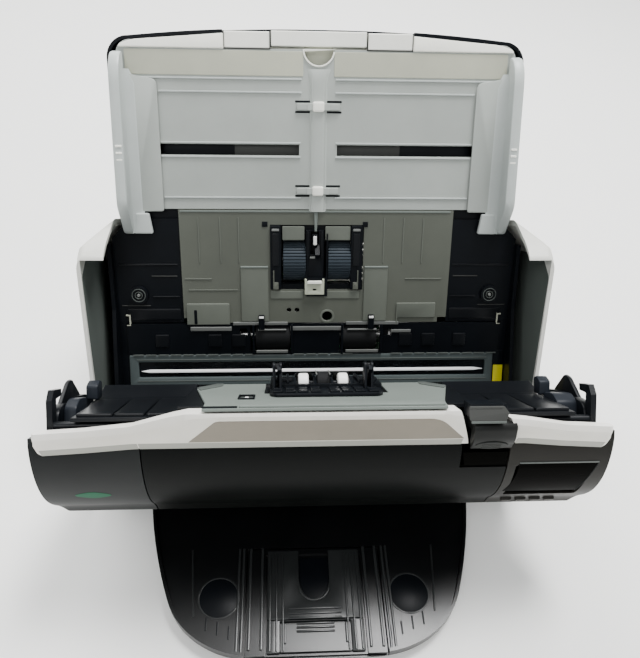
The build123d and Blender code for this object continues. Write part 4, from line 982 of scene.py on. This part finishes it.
def brake_face():
    """Ribs, teeth and guards on the black brake unit's face."""
    ribs = [pad(x, x + 1.4, 87, 113, 0.4) for x in (-29, -21, 19, 27)]
    on_cover("brake_ribs", BRAKE_FACE, ribs, "dark_plastic", 2.7, edge=0.35)
    cross = [pad(x, x + 11, up, up + 1.4, 0.4) for up in (98, 105) for x in (-29, 19)]
    on_cover("brake_cross_ribs", BRAKE_FACE, cross, "liner_black", 2.5, edge=0.35)
    teeth = [pad(x, x + 1.6, 88, 92, 0.4) for x in (-16, -12.6, -9.2, -5.8, 4.4, 7.8, 11.2, 14.6)]
    on_cover("brake_teeth", BRAKE_FACE, teeth, "dark_plastic", 2.9, edge=0.35)
    for x, tag in ((-15.6, "left"), (6.2, "right")):
        hood = [pad(x, x + 9.6, 90.5, 94, 0.8)]
        on_cover(f"brake_hood_{tag}", BRAKE_FACE, hood, "cover_black", 3.7, edge=0.6)
        chin = [pad(x, x + 9.6, 108.6, 112.5, 0.8)]
        on_cover(f"brake_chin_{tag}", SKIRT_FACE, chin, "cover_black", 0.6, 2.0, edge=0.6)


def brake_prongs():
    """Two pairs of prongs with a rung between them, one pair at each side of the brake unit."""
    prong = rounded([(46, 110), (60, 113.5), (62, 117), (61, 120), (46, 121)], [0, 2, 2, 2, 0])
    rung = rounded([(57, 114), (60, 114.5), (61, 117), (58, 117.5)], 0.6)
    thick, wide = 1.6, 5.2
    for x, tag in ((-28.6, "left"), (21.6, "right")):
        for low, side in ((x, "outer"), (x + wide - thick, "inner")):
            name = f"brake_prong_{side}_{tag}"
            plate(name, COVER_SIDE, [prong], low, low + thick, "dark_plastic", "cover", edge=0.4)
        plate(f"brake_rung_{tag}", COVER_SIDE, [rung], x, x + wide, "liner_black", "cover", edge=0.4)


def brake_skirt():
    """Skirt with its raised cells over the brake unit, and the two wires at its middle."""
    skirt = rounded([(-30, 113.6), (31, 113.6), (31, 128), (28, 132.5), (-27, 132.5), (-30, 128)], 1.5)
    on_cover("brake_skirt", SKIRT_FACE, [skirt], "dark_plastic", 0.0, 2.0, edge=0.5)
    columns = (-28.4, -21.6, -14.8, -8, 2.2, 9, 15.8, 23)
    cells = [pad(x, x + 5.4, low, low + 6.6, 0.5) for x in columns for low in (115, 124)]
    on_cover("brake_skirt_cells", SKIRT_FACE, cells, "dark_plastic", 1.0, 0.2, edge=0.4)
    wires = [pad(x, x + 0.8, 96, 110, 0.3) for x in (-4.4, 3.0)]
    on_cover("brake_wires", BRAKE_FACE, wires, "trim_silver", 5.7, -4.9, edge=0.2)


def white_rollers():
    """Two white rollers beside the brake roller, in place of the hidden CAD pair."""
    profile = ((0, 4.6), (0.5, 5.5), (1.2, 5.7), (4.8, 5.7), (5.5, 5.5), (6, 4.6))
    for x_low, tag in ((-14.3, "left"), (8.3, "right")):
        points = [(x_low + x, radius) for x, radius in profile]
        wheel = turned(f"white_roller_{tag}", COVER_SIDE, BRAKE_AXIS, points, "roller_white", "white_rollers")
        if tag == "left":
            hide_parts("white_rollers")


cover_band()
front_face()
release_grip()
liner_details()
funnel_details()
brake_face()
brake_prongs()
brake_skirt()
white_rollers()


# ---------------------------------------------------------------- stacker
def rails(places, half, low, high):
    """Narrow rounded bars, one at each x."""
    return [pad(x - half, x + half, low, high, 0.4) for x in places]


def stacker_details():
    """Rails, dished fields with dark floors of painted shade, short slots and ridges of the pull-out tray,
    and the first slide's rails.
    """
    edges = rails((-42.6, -45.2, 42.6, 45.2), 0.7, -124, -62)
    plate("stacker_rails", STACK, edges, -0.1, 1.1, "tray_painted_lit", "stacker", edge=0.35)
    inner = rails((-38.3, -31.2, 31.2, 38.3), 0.8, -122, -62)
    plate("slide_rails", STACK, inner, -0.2, 0.9, "tray_painted_lit", "stacker_slide", edge=0.35)
    fold = rounded([(74, -62), (75, -62), (71, -103), (70, -103)], 0.2)
    for way, tag in SIDES:
        centre = (way * 56.5, -92)
        # dark disc: painted shade in the dish, set against the painted-lit tray round it
        floor = ring(centre, 11.4, 40)
        plate(f"stacker_dish_{tag}", STACK, [floor], -0.1, 0.12, "dark_plastic", "stacker", edge=0.08)
        rim = [ring(centre, 12.4, 40), floor]
        plate(f"stacker_dish_rim_{tag}", STACK, rim, -0.1, 0.35, "tray_painted_lit", "stacker", edge=0.12)
        slots = []
        for k in range(4):
            x = way * (63 - 6.6 * k)
            high = -103 - 2.6 * k
            slots.append(pad(x - 0.5, x + 0.5, high - 7.5, high, 0.4))
        plate(f"stacker_slots_{tag}", STACK, slots, -0.1, 0.2, "dark_plastic", "stacker", edge=0.08)
        ridge = on_side(way, fold)
        plate(f"stacker_ridge_{tag}", STACK, [ridge], -0.1, 0.9, "tray_painted_lit", "stacker", edge=0.25)


def tip_details():
    """Notched tongue, arms, rails and grips of the second slide, and the grips of the page stopper."""
    grips = [pad(-15.5, 15.5, v - 0.7, v + 0.5, 0.4) for v in (-99.5, -102.2, -104.9)]
    plate("slide_grips", STACK, grips, 0.1, 1.0, "tray_painted_lit", "stacker_slide_tip", edge=0.3)
    fine = [pad(-11, 11, v - 0.6, v + 0.4, 0.4) for v in (-108.0, -110.2, -112.4)]
    plate("stopper_grips", STACK, fine, 0.1, 1.0, "tray_painted_lit", "stopper", edge=0.3)
    rim = arc(NOTCH_CENTRE, 9.4, range(-80, 81, 8)) + arc(NOTCH_CENTRE, 8.2, range(80, -81, -8))
    plate("slide_notch_rim", STACK, [rim], 0.0, 0.9, "tray_painted_lit", "stacker_slide_tip", edge=0.3)
    outline = [
        (-28, -64), (-9.2, -64), (-9.2, -84), (-6, -92), (0, -94.4), (6, -92),
        (9.2, -84), (9.2, -64), (28, -64), (28, -105.6), (-28, -105.6),
    ]
    tongue = rounded(outline, [0.5, 0.5, 3, 4, 4, 4, 3, 0.5, 0.5, 1, 1])
    panel = plate("slide_tongue", STACK, [tongue], -1.6, 0.25, "tray_painted_lit", "stacker_slide_tip", edge=0.3)
    outline = [
        (-28, -106), (28, -106), (28, -123.6), (20.6, -123.6),
        (20.6, -106.6), (-20.6, -106.6), (-20.6, -123.6), (-28, -123.6),
    ]
    arms = [rounded(outline, 0.6)]
    plate("slide_arms", STACK, arms, -1.6, 0.2, "tray_painted_lit", "stacker_slide_tip", edge=0.3)
    floor = [box_outline(-12, 12, -105, -68)]
    plate("slide_floor", STACK, floor, -2.1, -1.65, "dark_plastic", "stacker_slide_tip", edge=0.2)
    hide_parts("stacker_slide_inner")
    fine = rails((-26.4, -22.6, -18.8, 18.8, 22.6, 26.4), 0.6, -123, -66)
    plate("slide_tip_rails", STACK, fine, 0.0, 0.9, "tray_painted_lit", "stacker_slide_tip", edge=0.3)
    posts = [pad(-18.5, -17, -119, -108, 0.5), pad(17, 18.5, -119, -108, 0.5)]
    plate("stopper_arms", STACK, posts, 0.2, 1.2, "tray_painted_lit", "stacker_slide_tip", edge=0.35)


stacker_details()
tip_details()


# ---------------------------------------------------------------- camera, floor and lights
# sensor and lens in millimetres, places and sizes in metres, angles in degrees
SENSOR = 36.0
LENS_LENGTH = 35.57325
CAMERA_AT = Vector((-0.02193, -0.27457, 0.39314))
PITCH, YAW, ROLL = 44.128, 4.36, 2.697
FLOOR_HALF = 4.0
FLOOR_GLOW = 0.14
ROOM_COLOUR = (0.96, 0.98, 1.0, 1)
ROOM_STRENGTH = 0.7


def aim_camera():
    """Camera over the open cover, turned in pitch, yaw and roll."""
    lens = bpy.data.cameras.new("camera")
    lens.sensor_fit = "VERTICAL"
    lens.sensor_height = SENSOR
    lens.lens = LENS_LENGTH
    camera = bpy.data.objects.new("camera", lens)
    yaw = Matrix.Rotation(math.radians(-YAW), 4, "Z")
    pitch = Matrix.Rotation(math.radians(90 - PITCH), 4, "X")
    roll = Matrix.Rotation(math.radians(ROLL), 4, "Z")
    camera.matrix_world = Matrix.Translation(CAMERA_AT) @ yaw @ pitch @ roll
    bpy.context.scene.collection.objects.link(camera)
    bpy.context.scene.camera = camera


def floor_plane(half):
    """Pale square that the scanner stands on."""
    mesh = bpy.data.meshes.new("floor")
    corners = [(x, y, 0) for x, y in box_outline(-half, half, -half, half)]
    mesh.from_pydata(corners, [], [(0, 1, 2, 3)])
    made = bpy.data.objects.new("floor", mesh)
    paper = moulded("floor_paper", srgb(246, 246, 243), 0.85, grain=0.002, depth=0.00001, mottle=0.01)
    shader = paper.node_tree.nodes["Principled BSDF"]
    shader.inputs["Emission Color"].default_value = (1, 1, 0.97, 1)
    shader.inputs["Emission Strength"].default_value = FLOOR_GLOW
    mesh.materials.append(paper)
    bpy.context.scene.collection.objects.link(made)


def area_light(name, at, target, size, power):
    """Soft square light aimed at a point; size in metres, power in watts."""
    lamp = bpy.data.lights.new(name, "AREA")
    lamp.size = size
    lamp.energy = power
    made = bpy.data.objects.new(name, lamp)
    made.location = at
    made.rotation_euler = (Vector(target) - Vector(at)).to_track_quat("-Z", "Y").to_euler()
    bpy.context.scene.collection.objects.link(made)


def room():
    """Even pale light from all round."""
    world = bpy.data.worlds.new("room")
    world.use_nodes = True
    background = world.node_tree.nodes["Background"]
    background.inputs["Color"].default_value = ROOM_COLOUR
    background.inputs["Strength"].default_value = ROOM_STRENGTH
    bpy.context.scene.world = world


aim_camera()
floor_plane(FLOOR_HALF)
area_light("key_light", at=(0.35, 0.4, 1.6), target=(0, 0.03, 0.08), size=0.5, power=42)
area_light("back_light", at=(-0.5, 1.1, 1.3), target=(0, 0.05, 0.08), size=1.2, power=26)
area_light("front_light", at=(-0.4, -0.9, 1.5), target=(0, -0.05, 0.05), size=0.6, power=8)
room()
